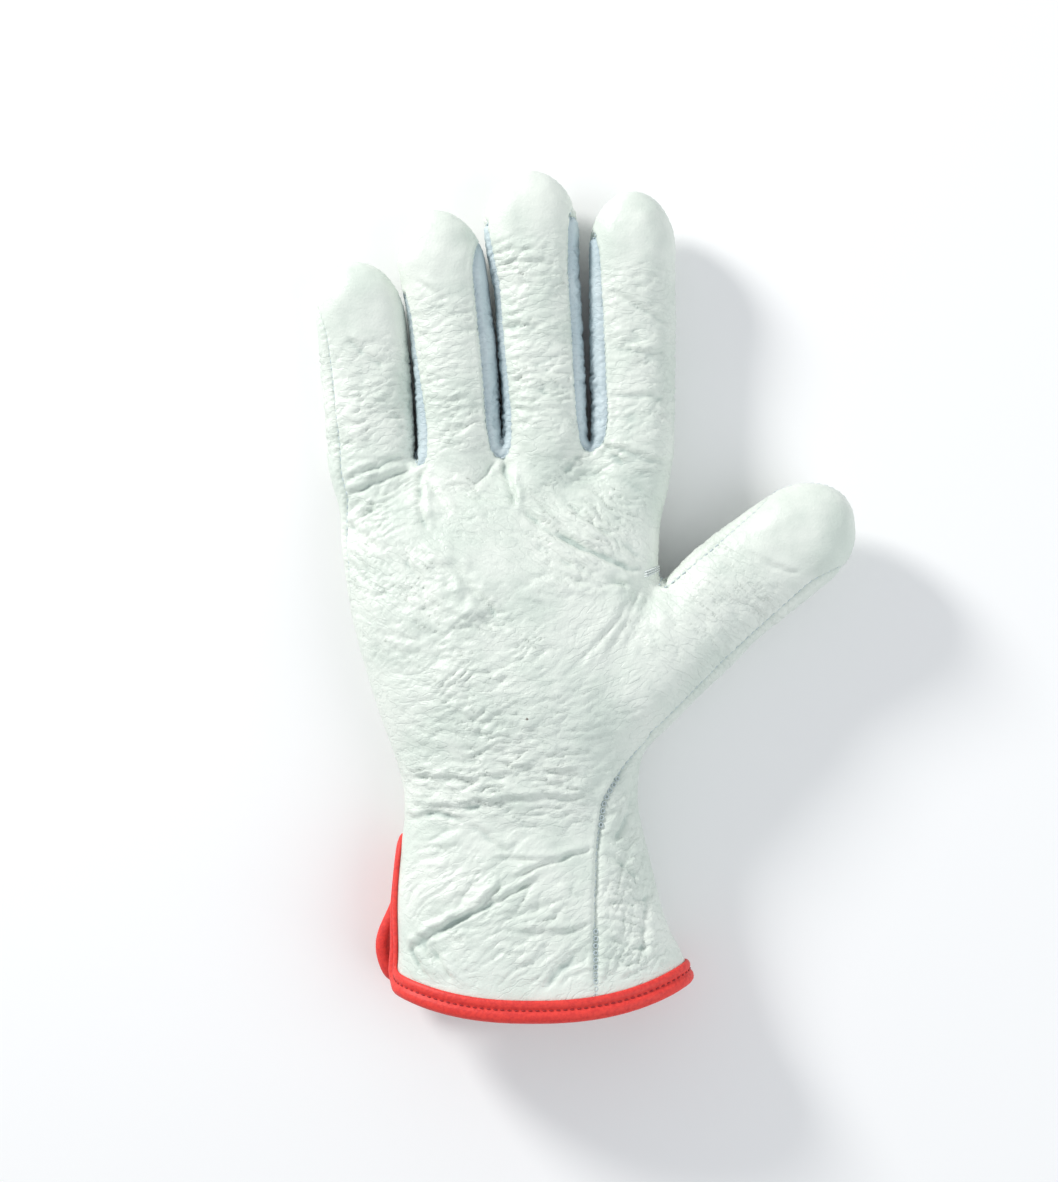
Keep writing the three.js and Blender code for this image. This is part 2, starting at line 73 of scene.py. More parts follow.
# %% Named sizes
LEATHER = 1.5
CUFF_LENGTH = 67.0
CUFF_WIDTH = 94.0
CUFF_DEPTH = 40.0
WRIST_WIDTH = 70.0
WRIST_DEPTH = 36.0
PALM_LENGTH = 96.0
PALM_WIDTH = 103.0
PALM_DEPTH = 37.0
FINGER_LENGTH = 84.0
FINGER_DEPTH = 22.5
FINGER_CURL = 5.0
THUMB_LENGTH = 104.0
THUMB_WIDTH = 31.5
THUMB_DEPTH = 27.0
THUMB_ANGLE = 40.0
THUMB_CURL = 7.0
HEM_RISE = 10.0
VENT_LENGTH = 43.0
VENT_HEIGHT = 15.0
VENT_TOP_WIDTH = 3.6
VENT_HEM_WIDTH = 9.0
VENT_CORNER = 3.5
FLAP_FLARE = 4.0
BINDING_WIDTH = 5.4
BINDING = 1.1
BINDING_GAP = 0.3
SEAM_INSET = 3.2
FINGER_SPLIT = 0.46
SECTION_POWER = 2.3
FLAT = 1.1
TIP_LENGTH = 0.68
PAST = 0.8
WEB_LOW = 0.14
WEB_TOP = 0.8
print(f"knuckles: {CUFF_LENGTH + PALM_LENGTH:.0f} mm from the hem and {PALM_WIDTH:.0f} mm wide")

# %% Section rows
# along, spread, shift, top, low
CUFF_ROWS = [
    (-0.16, 0.99, 0.124, 1.09, 0.04),
    (0, 0.93, 0.12, 1.08, 0.04),
    (0.11, 0.85, 0.113, 1.08, 0.04),
    (0.22, 0.79, 0.109, 1.07, 0.04),
    (0.37, 0.56, 0.08, 1.05, 0.02),
    (0.51, 0.43, 0.069, 1.03, 0.02),
    (0.69, 0.26, 0.06, 1, 0.03),
    (0.87, 0.05, 0.053, 0.97, 0.06),
]
PALM_ROWS = [
    (0, 0, 0.05, 0.97, 0.08),
    (0.1, 0.13, 0.045, 0.98, 0.06),
    (0.17, 0.27, 0.041, 0.99, 0.04),
    (0.29, 0.49, 0.039, 1, 0.01),
    (0.45, 0.67, 0.022, 0.97, 0),
    (0.61, 0.75, 0, 0.91, 0),
    (0.74, 0.78, -0.012, 0.85, 0),
    (0.87, 0.88, -0.014, 0.74, 0),
    (0.96, 0.86, -0.013, 0.63, 0.02),
    (1.03, 0.7, -0.013, 0.47, 0.12),
]
# along, width, depth, low, shift
FINGER_ROWS = [
    (-0.4, 0.5, 0.8, 0.35, 0),
    (-0.2, 0.86, 1.05, 0.1, 0),
    (0, 1.02, 1.09, 0, 0),
    (0.12, 1, 1.05, 0, 0),
    (0.36, 1, 1.01, 0, 0),
    (0.58, 1, 0.99, 0, 0),
    (0.75, 1, 0.98, 0, 0),
]
THUMB_ROWS = [
    (0, 1.32, 1.24, 0.06, -0.03),
    (0.16, 1.2, 1.24, 0, 0),
    (0.3, 1.09, 1.17, 0, 0.015),
    (0.43, 1.055, 1.09, 0, 0.006),
    (0.56, 1.045, 1.03, 0, -0.037),
    (0.7, 1.05, 1, 0, -0.02),
    (0.82, 1.03, 0.98, 0, 0),
]
print("sections:", len(CUFF_ROWS) + len(PALM_ROWS), "for the hand and", len(FINGER_ROWS), "for a finger")


# %% Helpers for smooth change
def smoothstep(low, high, value):
    share = np.clip((value - low) / (high - low), 0, 1)
    return share * share * (3 - 2 * share)


def mix(a, b, share):
    return a + (b - a) * share


def unit(vectors):
    return vectors / np.maximum(np.linalg.norm(vectors, axis=-1, keepdims=True), 1e-9)


class Rows:
    """Columns of numbers along a length, read at any place on a smooth line through them."""

    STEP = 0.5

    def __init__(self, places, columns, blur):
        self.places = np.arange(places[0], places[-1] + self.STEP, self.STEP)
        reach = int(3 * blur / self.STEP)
        kernel = np.exp(-0.5 * (np.arange(-reach, reach + 1) * self.STEP / blur) ** 2)
        kernel /= kernel.sum()
        self.columns = {}
        for name, values in columns.items():
            line = np.interp(self.places, places, values)
            start = 2 * line[0] - line[reach:0:-1]
            end = 2 * line[-1] - line[-2 : -reach - 2 : -1]
            padded = np.concatenate([start, line, end])
            self.columns[name] = np.convolve(padded, kernel, mode="valid")

    def at(self, name, place):
        return np.interp(place, self.places, self.columns[name])


print("halfway through a smooth step:", smoothstep(0, 10, 5))

# %% The hand's sections
cuff = np.array(CUFF_ROWS)
palm = np.array(PALM_ROWS)
cuff_depth = mix(WRIST_DEPTH, 0.92 * CUFF_DEPTH, cuff[:, 1])
hand_y = np.concatenate([cuff[:, 0] * CUFF_LENGTH, CUFF_LENGTH + palm[:, 0] * PALM_LENGTH])
cuff_width = mix(WRIST_WIDTH, CUFF_WIDTH, cuff[:, 1])
palm_width = mix(WRIST_WIDTH, PALM_WIDTH, palm[:, 1])
hand_columns = {
    "width": np.concatenate([cuff_width, palm_width]),
    "middle": np.concatenate([cuff[:, 2], palm[:, 2]]) * PALM_WIDTH,
    "top": np.concatenate([cuff[:, 3] * cuff_depth, palm[:, 3] * PALM_DEPTH]),
    "low": np.concatenate([cuff[:, 4], palm[:, 4]]) * WRIST_DEPTH,
}
hand = Rows(hand_y, hand_columns, blur=3.0)
HAND_LENGTH = float(hand_y[-1])
hand_middle = PALM_ROWS[-1][2] * PALM_WIDTH
knuckle_line = CUFF_LENGTH + 1.1 * PALM_LENGTH
print(f"hand: {HAND_LENGTH:.0f} mm from the hem to the knuckles")


# %% The fingers and the thumb
class Digit:
    """A finger or the thumb, with its own frame: s from its root to its tip, u to its right, z up."""

    def __init__(self, name, root, angle, rows, **sizes):
        self.name = name
        self.root = np.array(root)
        self.angle = math.radians(angle)
        self.bow, self.bulb = 0.0, 0.0
        for label, size in sizes.items():
            setattr(self, label, size)
        table = np.array(rows, dtype=float)
        labels = ("width", "depth", "low", "shift")
        columns = {label: table[:, i + 1] for i, label in enumerate(labels)}
        self.rows = Rows(table[:, 0] * self.length, columns, blur=2.5)
        self.tip_start = self.length - TIP_LENGTH * self.width

    def section(self, s):
        along = s / self.length
        bulb = 1 + self.bulb * smoothstep(0.5, 0.8, along)
        width = mix(self.root_width, self.width, smoothstep(0, 0.5, along)) * bulb
        beyond_root = np.maximum(along, 0)
        lift = self.curl * beyond_root**2
        half = self.rows.at("width", s) * width / 2
        shift = self.rows.at("shift", s) * width + self.bow * np.sin(np.pi * beyond_root)
        low = lift + self.rows.at("low", s) * self.depth
        top = lift + self.rows.at("depth", s) * self.depth
        return half, shift, low, top

    def place(self, s, u, z):
        cos, sin = math.cos(self.angle), math.sin(self.angle)
        x = self.root[0] + s * cos + u * sin
        y = self.root[1] + s * sin - u * cos
        return np.stack(np.broadcast_arrays(x, y, z), -1)

    def locate(self, points):
        cos, sin = math.cos(self.angle), math.sin(self.angle)
        x = points[:, 0] - self.root[0]
        y = points[:, 1] - self.root[1]
        return x * cos + y * sin, x * sin - y * cos


# %% Four fingers and a thumb
quarter = PALM_WIDTH / 4
# name, across, drop, length, depth, width, root width, bulb, splay, bow, and the seams' insets
FINGERS = [
    ("little", -0.381, 0.068, 0.74, 0.9, 1.06, 1.04, 0, 4.8, 0.03, (1.25, 0.8), (-0.1, -0.1)),
    ("ring", -0.118, 0.044, 0.9, 0.97, 1.01, 1, 0.02, 6.4, 0.07, (1.1, 0.1), (1.2, 1.3)),
    ("middle", 0.136, 0.01, 1, 1, 1.01, 0.99, 0.1, 4.2, 0.03, (0.75, 0.35), (0.8, 0.95)),
    ("index", 0.394, 0, 0.91, 1, 1.012, 0.97, 0, 0.2, 0, (1.45, 0.8), (-1, -1)),
]
fingers = []
for name, across, drop, length, depth, width, root_width, bulb, splay, bow, left, right in FINGERS:
    finger = Digit(
        name,
        (hand_middle + across * PALM_WIDTH, knuckle_line - drop * PALM_WIDTH),
        90 + splay,
        FINGER_ROWS,
        length=length * FINGER_LENGTH,
        width=width * quarter,
        root_width=root_width * quarter,
        depth=depth * FINGER_DEPTH,
        curl=FINGER_CURL,
        bow=bow * quarter,
        bulb=bulb,
        left=np.array(left) * SEAM_INSET,
        right=np.array(right) * SEAM_INSET,
    )
    fingers.append(finger)
thumb = Digit(
    "thumb",
    (0.237 * PALM_WIDTH, CUFF_LENGTH + 0.23 * PALM_LENGTH),
    THUMB_ANGLE,
    THUMB_ROWS,
    length=THUMB_LENGTH,
    width=THUMB_WIDTH,
    root_width=THUMB_WIDTH,
    depth=THUMB_DEPTH,
    curl=THUMB_CURL,
    left=np.array([0.45, 0.5]) * SEAM_INSET,
    right=np.array([0.65, 1.1]) * SEAM_INSET,
)
digits = [*fingers, thumb]
print("digits:", ", ".join(f"{d.name} {d.length:.0f} mm" for d in digits))


# %% Rings of points
def oval(angle, half_width, low, high):
    power = 2 / SECTION_POWER
    across, up = np.cos(angle), np.sin(angle)
    x = half_width * np.sign(across) * np.abs(across) ** power
    half = (high - low + FLAT) / 2
    z = low - FLAT + half + half * np.sign(up) * np.abs(up) ** power
    return x, np.maximum(z, low)


def flare(angle, y):
    near_hem = 1 - smoothstep(0.3 * VENT_LENGTH, VENT_LENGTH, y)
    side = np.clip(np.cos(angle - 1.14 * np.pi), 0, 1)
    return np.where(angle > np.pi, FLAP_FLARE * near_hem * side**6, 0)


def hand_ring(y, angle):
    half = hand.at("width", y) / 2
    x, z = oval(angle, half, hand.at("low", y), hand.at("top", y))
    x = hand.at("middle", y) + x - flare(angle, y)
    return np.stack(np.broadcast_arrays(x, y, z), -1)


print(f"the cuff is flared by up to {flare(1.14 * np.pi, 0):.0f} mm beside the vent")

# %% Rings round the fingers and the thumb
RING = 180
RING_GAP = 1.0
TIP_RINGS = 22
turn = np.arange(RING) / RING * 2 * np.pi
# Above each fork the fingers are spread a little while the form is made, so they don't melt together
forks = [max(a.root[1], b.root[1]) - 1.0 for a, b in zip(fingers, fingers[1:])]
SPREAD = 2.0


def spread_of(index, y):
    first, second, third = (SPREAD * smoothstep(f - 4, f + 6, y) for f in forks)
    return (-first - second, -second, 0 * y, third)[index]


def digit_rings(digit):
    rings = []
    for s in np.arange(digit.rows.places[0], digit.tip_start, RING_GAP):
        half, shift, low, top = digit.section(s)
        x, z = oval(-turn, half, low, top)
        rings.append(digit.place(s, shift + x, z))
    tip = digit.length - digit.tip_start
    for bend in np.linspace(0, 0.49 * np.pi, TIP_RINGS):
        s = digit.tip_start + tip * math.sin(bend)
        share = math.cos(bend)
        half, shift, low, top = digit.section(s)
        middle = (low + top) / 2
        x, z = oval(-turn, half, low, top)
        z = middle + (z - middle) * mix(1, share, 0.9)
        rings.append(digit.place(s, shift + x * share, z))
    return rings


print(f"the thumb has {len(digit_rings(thumb))} rings")


# %% Tubes through the rings
def loft(rings):
    """Points and faces of a closed tube through the rings, with a fan over each end."""
    points = np.concatenate([*rings, [rings[0].mean(0), rings[-1].mean(0)]])
    faces = []
    step = np.arange(RING)
    after = (step + 1) % RING
    for i in range(len(rings) - 1):
        a, b = i * RING, (i + 1) * RING
        faces.append(np.stack([step + a, after + a, after + b], 1))
        faces.append(np.stack([step + a, after + b, step + b], 1))
    last = (len(rings) - 1) * RING
    start, end = len(points) - 2, len(points) - 1
    faces.append(np.stack([after, step, np.full(RING, start)], 1))
    faces.append(np.stack([step + last, after + last, np.full(RING, end)], 1))
    return points, np.concatenate(faces)


def web_rings(index):
    a, b = fingers[index], fingers[index + 1]
    _, _, low, top = a.section(0.0)
    bottom, lid = mix(low, top, WEB_LOW), mix(low, top, WEB_TOP)
    middle, half = (a.root[0] + b.root[0]) / 2, (b.root[0] - a.root[0]) / 2
    rings = []
    for y in (HAND_LENGTH - 9, forks[index]):
        x, z = oval(-turn, half, bottom, lid)
        rings.append(np.stack(np.broadcast_arrays(middle + x, y, z), -1))
    return rings


hand_rings = [hand_ring(y, -turn % (2 * np.pi)) for y in np.arange(hand_y[0], HAND_LENGTH, RING_GAP)]
tubes = [loft(hand_rings)]
for index, finger in enumerate(fingers):
    points, faces = loft(digit_rings(finger))
    points[:, 0] += spread_of(index, points[:, 1])
    tubes.append((points, faces))
tubes.append(loft(digit_rings(thumb)))
tubes.extend(loft(web_rings(i)) for i in range(3))
print(f"tubes: {len(tubes)}, {sum(len(t[0]) for t in tubes)} points")

# %% [markdown]
# ## One skin
# The tubes overlap where a finger leaves the palm. They could be joined with booleans, which leave sharp
# creases there, or turned into one even skin by a voxel remesh, which melts them together as leather over
# knuckles does. The remesh is used, and its points are relaxed, most of all near the knuckles and at the
# root of the thumb. The fingers were spread for this, and are put back afterwards.

# %% Remesh
VOXEL = 0.7
offsets = np.cumsum([0] + [len(t[0]) for t in tubes])
form = bpy.data.meshes.new("form")
all_points = np.concatenate([t[0] for t in tubes])
all_faces = np.concatenate([t[1] + offset for t, offset in zip(tubes, offsets)])
form.from_pydata(all_points.tolist(), [], all_faces.tolist())
form_object = bpy.data.objects.new("form", form)
bpy.context.scene.collection.objects.link(form_object)
remesh = form_object.modifiers.new("one skin", "REMESH")
remesh.mode = "VOXEL"
remesh.voxel_size = VOXEL
remeshed = bpy.data.meshes.new_from_object(
    form_object.evaluated_get(bpy.context.evaluated_depsgraph_get())
)
bpy.data.objects.remove(form_object)


def mesh_arrays(mesh):
    """A mesh's points and triangles as two tables."""
    points = np.empty(len(mesh.vertices) * 3, np.float32)
    mesh.vertices.foreach_get("co", points)
    mesh.calc_loop_triangles()
    triangles = np.empty(len(mesh.loop_triangles) * 3, np.int32)
    mesh.loop_triangles.foreach_get("vertices", triangles)
    return points.reshape(-1, 3).astype(float), triangles.reshape(-1, 3).astype(np.int64)


skin, triangles = mesh_arrays(remeshed)
bpy.data.meshes.remove(remeshed)
print(f"skin: {len(skin)} points, {len(triangles)} triangles")


# %% Relax and close the fingers again
def edges_of(triangles):
    pairs = np.concatenate([triangles[:, [0, 1]], triangles[:, [1, 2]], triangles[:, [2, 0]]])
    pairs.sort(axis=1)
    return np.unique(pairs, axis=0)


def neighbour_mean(values, edges, count):
    total = np.bincount(edges[:, 0], values[edges[:, 1]], count)
    total += np.bincount(edges[:, 1], values[edges[:, 0]], count)
    return total / np.maximum(np.bincount(edges.ravel(), minlength=count), 1)


def relax(points, edges, weight, rounds):
    """Moves each point towards the mean of its neighbours, again and again."""
    count = len(points)
    for _ in range(rounds):
        for axis in range(3):
            mean = neighbour_mean(points[:, axis], edges, count)
            points[:, axis] += weight * (mean - points[:, axis])
    return points


edges = edges_of(triangles)
thumb_s, thumb_u = thumb.locate(skin)
near_knuckles = smoothstep(138, 150, skin[:, 1]) * (1 - smoothstep(166, 176, skin[:, 1]))
near_thumb = smoothstep(-5, 12, thumb_s) * (1 - smoothstep(34, 50, thumb_s))
near_thumb *= 1 - smoothstep(18, 30, np.abs(thumb_u))
skin = relax(skin, edges, np.full(len(skin), 0.6), 6)
skin = relax(skin, edges, 0.7 * np.maximum(near_knuckles, near_thumb), 60)


def finger_of(points):
    """The index of the finger nearest to each point, among the spread fingers."""
    y = points[:, 1]
    index = np.zeros(len(points), int)
    for i in range(3):
        a, b = fingers[i], fingers[i + 1]
        height = np.maximum(y, forks[i])
        right = a.root[0] + (height - a.root[1]) / math.tan(a.angle) + spread_of(i, y)
        left = b.root[0] + (height - b.root[1]) / math.tan(b.angle) + spread_of(i + 1, y)
        share = a.width / (a.width + b.width)
        index += points[:, 0] > mix(right, left, share)
    return index


finger_index = finger_of(skin)
for i in range(4):
    chosen = finger_index == i
    skin[chosen, 0] -= spread_of(i, skin[chosen, 1])
skin = relax(skin, edges, 0.5 * near_knuckles, 6)


print("points on each finger:", ", ".join(str(np.sum(finger_index == i)) for i in range(4)))


# %% The smooth direction out of the skin
def normals_of(points, triangles):
    a, b, c = (points[triangles[:, i]] for i in range(3))
    face = np.cross(b - a, c - a)
    total = np.stack(
        [
            sum(np.bincount(triangles[:, i], face[:, axis], len(points)) for i in range(3))
            for axis in range(3)
        ],
        1,
    )
    return total / np.maximum(np.linalg.norm(total, axis=1, keepdims=True), 1e-9)


# At the vent the back's edge has curled out into a loop and the palm's edge has drawn in a little
CURL_OUT = -4.2
DRAWN_IN = 1.0
x, y, z = skin.T
near_vent = np.exp(-(((y - 19) / 11) ** 2)) * (x < hand.at("middle", y) - 20)
near_vent *= smoothstep(1, 9, z) * (1 - smoothstep(24, 32, z))
skin[:, 0] += near_vent * mix(CURL_OUT, DRAWN_IN, smoothstep(12, 18, z))
normals = normals_of(skin, triangles)
print("skin spans", np.round(skin.min(0), 1), "to", np.round(skin.max(0), 1))

# %% [markdown]
# ## Where the pieces meet
# Each piece is the part of the skin on one side of a line. The line of a seam could be drawn by hand on
# the surface; here it is where a field, a plain number at each point, passes through zero. The same strips
# as in the solids make the fields, so every seam falls where the solids have it.

# %% Rows for the seams
# along, inset of the seam as a share: between the fingers, on the little finger's outer side
PANEL_ROWS = [
    (-0.4, -2, 0.5),
    (-0.05, -0.4, 0.9),
    (0.01, 0.7, 1),
    (0.12, 0.95, 1),
    (0.6, 1, 1),
]
# along, inset
THUMB_PANEL_ROWS = [(0.05, 1.6), (0.16, 1), (0.43, 1), (0.75, 1)]
# along, inset on the left, seam on the right as a share of the palm's width
SIDE_ROWS = [
    (-0.08, -1, 0.267),
    (0.2, -1, 0.267),
    (0.3, -1, 0.274),
    (0.39, -1, 0.293),
    (0.45, -1, 0.355),
    (0.5, -1, 0.43),
    (0.6, -1, 0.45),
    (0.7, -1, 0.45),
    (0.75, 0.15, 0.45),
    (0.8, 0.3, 0.48),
    (0.86, 0.45, 0.49),
    (0.93, 0.75, 0.52),
    (1, 0.9, 0.52),
]
# along, lower seam as a share of the finger's height
FORK_ROWS = [(-0.1, 0.2), (0.3, 0.17), (0.6, 0.2), (0.82, 0.44)]
print("the palm's right seam ends", round(SIDE_ROWS[-1][2] * PALM_WIDTH), "mm right of the middle")


# %% The palm panel's field
def strip_field(digit, points, rows, outer_left):
    """Above zero where the palm panel covers a digit."""
    tip = digit.length - digit.tip_start
    places = [row[0] * digit.length for row in rows]
    places += [digit.tip_start - 0.1 * tip, digit.tip_start + 0.2 * tip]
    places += [digit.tip_start + 0.5 * tip, digit.length + PAST]
    wraps = [0.9, 0.5, -0.2, -0.2]
    s, u = digit.locate(points)
    places = np.array(places)
    half, shift, low, top = digit.section(np.minimum(places, digit.tip_start + 0.5 * tip))
    share = np.clip(places / digit.tip_start, 0, 1)
    edges = []
    for seams, column in ((digit.left, 2 if outer_left else 1), (digit.right, 1)):
        seam = mix(seams[0], seams[1], share)
        inset = np.array([row[column] for row in rows] + wraps)
        edges.append(half - np.where(seam > 0, inset * seam, seam))
    left = np.interp(s, places, shift - edges[0])
    right = np.interp(s, places, shift + edges[1])
    floor = np.interp(s, places, mix(low, top, FINGER_SPLIT))
    ends = np.minimum(s - places[0], places[-1] + 4 - s)
    return np.minimum.reduce([u - left, right - u, points[:, 2] - floor, ends])


def palm_field(points):
    y = points[:, 1]
    side = np.array(SIDE_ROWS)
    places = side[:, 0] * HAND_LENGTH
    middle, width = hand.at("middle", places), hand.at("width", places)
    inset = np.where(side[:, 1] > 0, side[:, 1] * SEAM_INSET, -3 * PAST)
    left = np.interp(y, places, middle - width / 2 + inset)
    right = np.interp(y, places, side[:, 2] * PALM_WIDTH)
    floor = np.interp(y, places, mix(hand.at("low", places), hand.at("top", places), FINGER_SPLIT))
    ends = np.minimum(y - places[0], places[-1] - y)
    plan = np.minimum.reduce([points[:, 0] - left, right - points[:, 0], points[:, 2] - floor, ends])
    parts = [plan]
    for finger in fingers:
        parts.append(strip_field(finger, points, PANEL_ROWS, finger.name == "little"))
    parts.append(strip_field(thumb, points, THUMB_PANEL_ROWS, False))
    return np.maximum.reduce(parts)


palm_value = palm_field(skin)
print(f"palm panel covers {np.mean(palm_value > 0):.0%} of the skin")


# %% The forks' and the hem's fields
def fork_side(digit, side, points):
    """Above zero where a fork covers one side of a finger."""
    s, u = digit.locate(points)
    table = np.array(FORK_ROWS)
    places = table[:, 0] * digit.length
    half, shift, low, top = digit.section(places)
    inner = np.interp(s, places, shift)
    floor = np.interp(s, places, mix(low, top, table[:, 1]))
    ends = np.minimum(s - places[0], places[-1] - s)
    reach = np.interp(s, places, half) + 3 - side * (u - inner)
    return np.minimum.reduce([side * (u - inner), reach, points[:, 2] - floor, ends])


def fork_field(index, points):
    left = fork_side(fingers[index], 1, points)
    return np.maximum(left, fork_side(fingers[index + 1], -1, points))


hem_middle = 0.08 * PALM_WIDTH


def hem_line(x):
    return HEM_RISE * (np.abs(x - hem_middle) / (CUFF_WIDTH / 2)) ** 2.4


hem_side = float(hem_line(hand.at("middle", 0) - CUFF_WIDTH / 2))


def hem_field(points):
    """Above zero on the hand's side of the hem and outside the vent."""
    x, y, z = points.T
    wedge = mix(VENT_HEM_WIDTH, VENT_TOP_WIDTH, (y - hem_side) / VENT_LENGTH) / 2
    from_hem = np.clip(y - hem_side, 0, VENT_CORNER)
    corner = VENT_CORNER - np.sqrt(VENT_CORNER**2 - (VENT_CORNER - from_hem) ** 2)
    outside = np.maximum(np.abs(z - VENT_HEIGHT) - wedge - corner, y - hem_side - VENT_LENGTH)
    outside = np.where(x < hand.at("middle", 0), outside, 99)
    return np.minimum(y - hem_line(x), outside)


def relax_values(values, edges, weight, rounds):
    for _ in range(rounds):
        values = values + weight * (neighbour_mean(values, edges, len(values)) - values)
    return values


palm_value = relax_values(palm_value, edges, 0.5, 6)
fork_values = [relax_values(fork_field(i, skin), edges, 0.5, 4) for i in range(3)]
hem_value = relax_values(hem_field(skin), edges, 0.5, 3)
print(f"beyond the hem or in the vent: {np.mean(hem_value < 0):.0%} of the skin")


# %% The line where a field is zero
def zero_lines(points, triangles, values):
    """Chains of points where the values pass through zero: a list of (points, is closed)."""
    above = values > 0
    crossed = triangles[above[triangles].any(1) & ~above[triangles].all(1)]
    place = {}
    links = {}
    for triangle in crossed.tolist():
        ends = []
        for i in range(3):
            a, b = triangle[i], triangle[(i + 1) % 3]
            if above[a] != above[b]:
                key = (min(a, b), max(a, b))
                if key not in place:
                    share = values[key[0]] / (values[key[0]] - values[key[1]])
                    place[key] = mix(points[key[0]], points[key[1]], share)
                ends.append(key)
        links.setdefault(ends[0], []).append(ends[1])
        links.setdefault(ends[1], []).append(ends[0])
    chains = []
    waiting = sorted(links, key=lambda key: (len(links[key]), key))
    used = set()
    for start in waiting:
        if start in used:
            continue
        chain = [start]
        used.add(start)
        while True:
            onward = [key for key in links[chain[-1]] if key not in used]
            if not onward:
                break
            chain.append(onward[0])
            used.add(onward[0])
        closed = len(chain) > 2 and chain[0] in links[chain[-1]]
        chains.append((np.array([place[key] for key in chain]), closed))
    return sorted(chains, key=lambda chain: -len(chain[0]))


def even_line(line, closed, step, blur):
    """The same line with its points a step apart and its small wiggles smoothed away."""
    if closed:
        line = np.concatenate([line, line[:1]])
    arc = np.concatenate([[0], np.cumsum(np.linalg.norm(np.diff(line, axis=0), axis=1))])
    count = max(int(arc[-1] / step), 4)
    at = np.arange(count) / count * arc[-1] if closed else np.linspace(0, arc[-1], count + 1)
    even = np.stack([np.interp(at, arc, line[:, axis]) for axis in range(3)], 1)
    for _ in range(blur):
        if closed:
            even = (np.roll(even, 1, 0) + 2 * even + np.roll(even, -1, 0)) / 4
        else:
            even[1:-1] = (even[:-2] + 2 * even[1:-1] + even[2:]) / 4
    return even


HEM_STEP = 0.6
hem_chain, hem_is_closed = zero_lines(skin, triangles, hem_value)[0]
hem_path = even_line(hem_chain, hem_is_closed, step=HEM_STEP, blur=10)
print(f"hem and vent edge: {len(hem_path) * HEM_STEP:.0f} mm, closed: {hem_is_closed}")


# %% [markdown]
# ## Seams as valleys
# A glove's seams are sewn inside out and turned, so each shows as a narrow valley between two soft edges.
# The thread pulls the leather in at every stitch, which leaves a row of small puckers beside it. For that
# each point near a seam needs its distance from the seam and how far along the seam it lies.

# %% Seam lines
STITCH = 2.15
NEAR_SEAM = 5.0
SEAM_STEP = 0.5
SHORTEST_LINE = 25


def sub_lines(values, chosen):
    """The zero lines of the values over the chosen points only, with points half a millimetre apart."""
    inside = triangles[chosen[triangles].all(1)]
    lines = []
    for line, closed in zero_lines(skin, inside, values):
        if len(line) > SHORTEST_LINE:
            lines.append(even_line(line, closed, step=SEAM_STEP, blur=6))
    return lines


palm_lines = sub_lines(palm_value, hem_value > 1.0)
fork_lines = []
for value in fork_values:
    fork_lines.extend(sub_lines(value, (palm_value < 0.2) & (hem_value > 1.0)))
print("seams:", len(palm_lines), "round the palm,", len(fork_lines), "below the forks")


# %% How far each point is from a seam
FAR = 99.0


def seam_place(points, near, lines):
    """Distance from the nearest seam and the length along it, for the points marked as near."""
    starts = np.concatenate(lines)
    tangents = np.concatenate([unit(np.gradient(line, axis=0)) for line in lines])
    arcs = np.concatenate([np.arange(len(line)) * SEAM_STEP for line in lines])
    tree = KDTree(len(starts))
    for number, place in enumerate(starts.tolist()):
        tree.insert(place, number)
    tree.balance()
    distance = np.full(len(points), FAR)
    along = np.zeros(len(points))
    chosen = np.flatnonzero(near)
    nearest = np.array([tree.find(place)[1] for place in points[chosen].tolist()])
    away = points[chosen] - starts[nearest]
    step = np.sum(away * tangents[nearest], axis=1)
    distance[chosen] = np.linalg.norm(away - step[:, None] * tangents[nearest], axis=1)
    along[chosen] = arcs[nearest] + step
    return distance, along


palm_distance, palm_along = seam_place(skin, np.abs(palm_value) < NEAR_SEAM, palm_lines)
near_fork = np.minimum.reduce([np.abs(value) for value in fork_values]) < NEAR_SEAM
fork_distance, fork_along = seam_place(skin, near_fork & (palm_value < 1), fork_lines)
print(f"points near a seam: {np.sum(palm_distance < FAR) + np.sum(fork_distance < FAR)}")

# %% [markdown]
# ## Creases and folds
# Cow leather that has been worn creases across each finger and along the lines of the hand. Sculpting each
# crease is slow, and a plain noise looks like stone, so there are two kinds here. The dense small ones come
# from noise that is stretched along the crease and cut to a sharp valley where it changes sign. Each zone
# of the hand has its own direction. The bigger folds, which give this glove its look, are drawn one by one.

# %% A noise that is the same in every run
HASH_STEPS = (374761393, 668265263, 2147483647)
HASH_SEED = 1442695041
HASH_MIX = (1274126177, 2246822519)


def noise(places, seed):
    """Smooth noise between about -1 and 1 at each row of places, always the same for the same seed."""
    cell = np.floor(places).astype(np.int64)
    part = places - cell
    fade = part * part * part * (part * (part * 6 - 15) + 10)
    total = np.zeros(len(places))
    for corner in range(8):
        step = np.array([corner & 1, (corner >> 1) & 1, (corner >> 2) & 1])
        node = (cell + step) & 0xFFFF
        mixed = sum(node[:, axis] * HASH_STEPS[axis] for axis in range(3))
        mixed = (mixed + seed * HASH_SEED) & 0xFFFFFFFF
        mixed = ((mixed ^ (mixed >> 13)) * HASH_MIX[0]) & 0xFFFFFFFF
        mixed = ((mixed ^ (mixed >> 16)) * HASH_MIX[1]) & 0xFFFFFFFF
        turn_by = (mixed & 0xFFFF) / 65536 * 2 * np.pi
        up = ((mixed >> 16) & 0xFFFF) / 32768 - 1
        flat = np.sqrt(1 - up**2)
        away = part - step
        slope = away[:, 0] * flat * np.cos(turn_by) + away[:, 1] * flat * np.sin(turn_by)
        slope += away[:, 2] * up
        share = np.prod(np.where(step == 1, fade, 1 - fade), axis=1)
        total += share * slope
    return total * 1.6


# %% Creases from noise
CREASE_SHARPNESS = 0.15


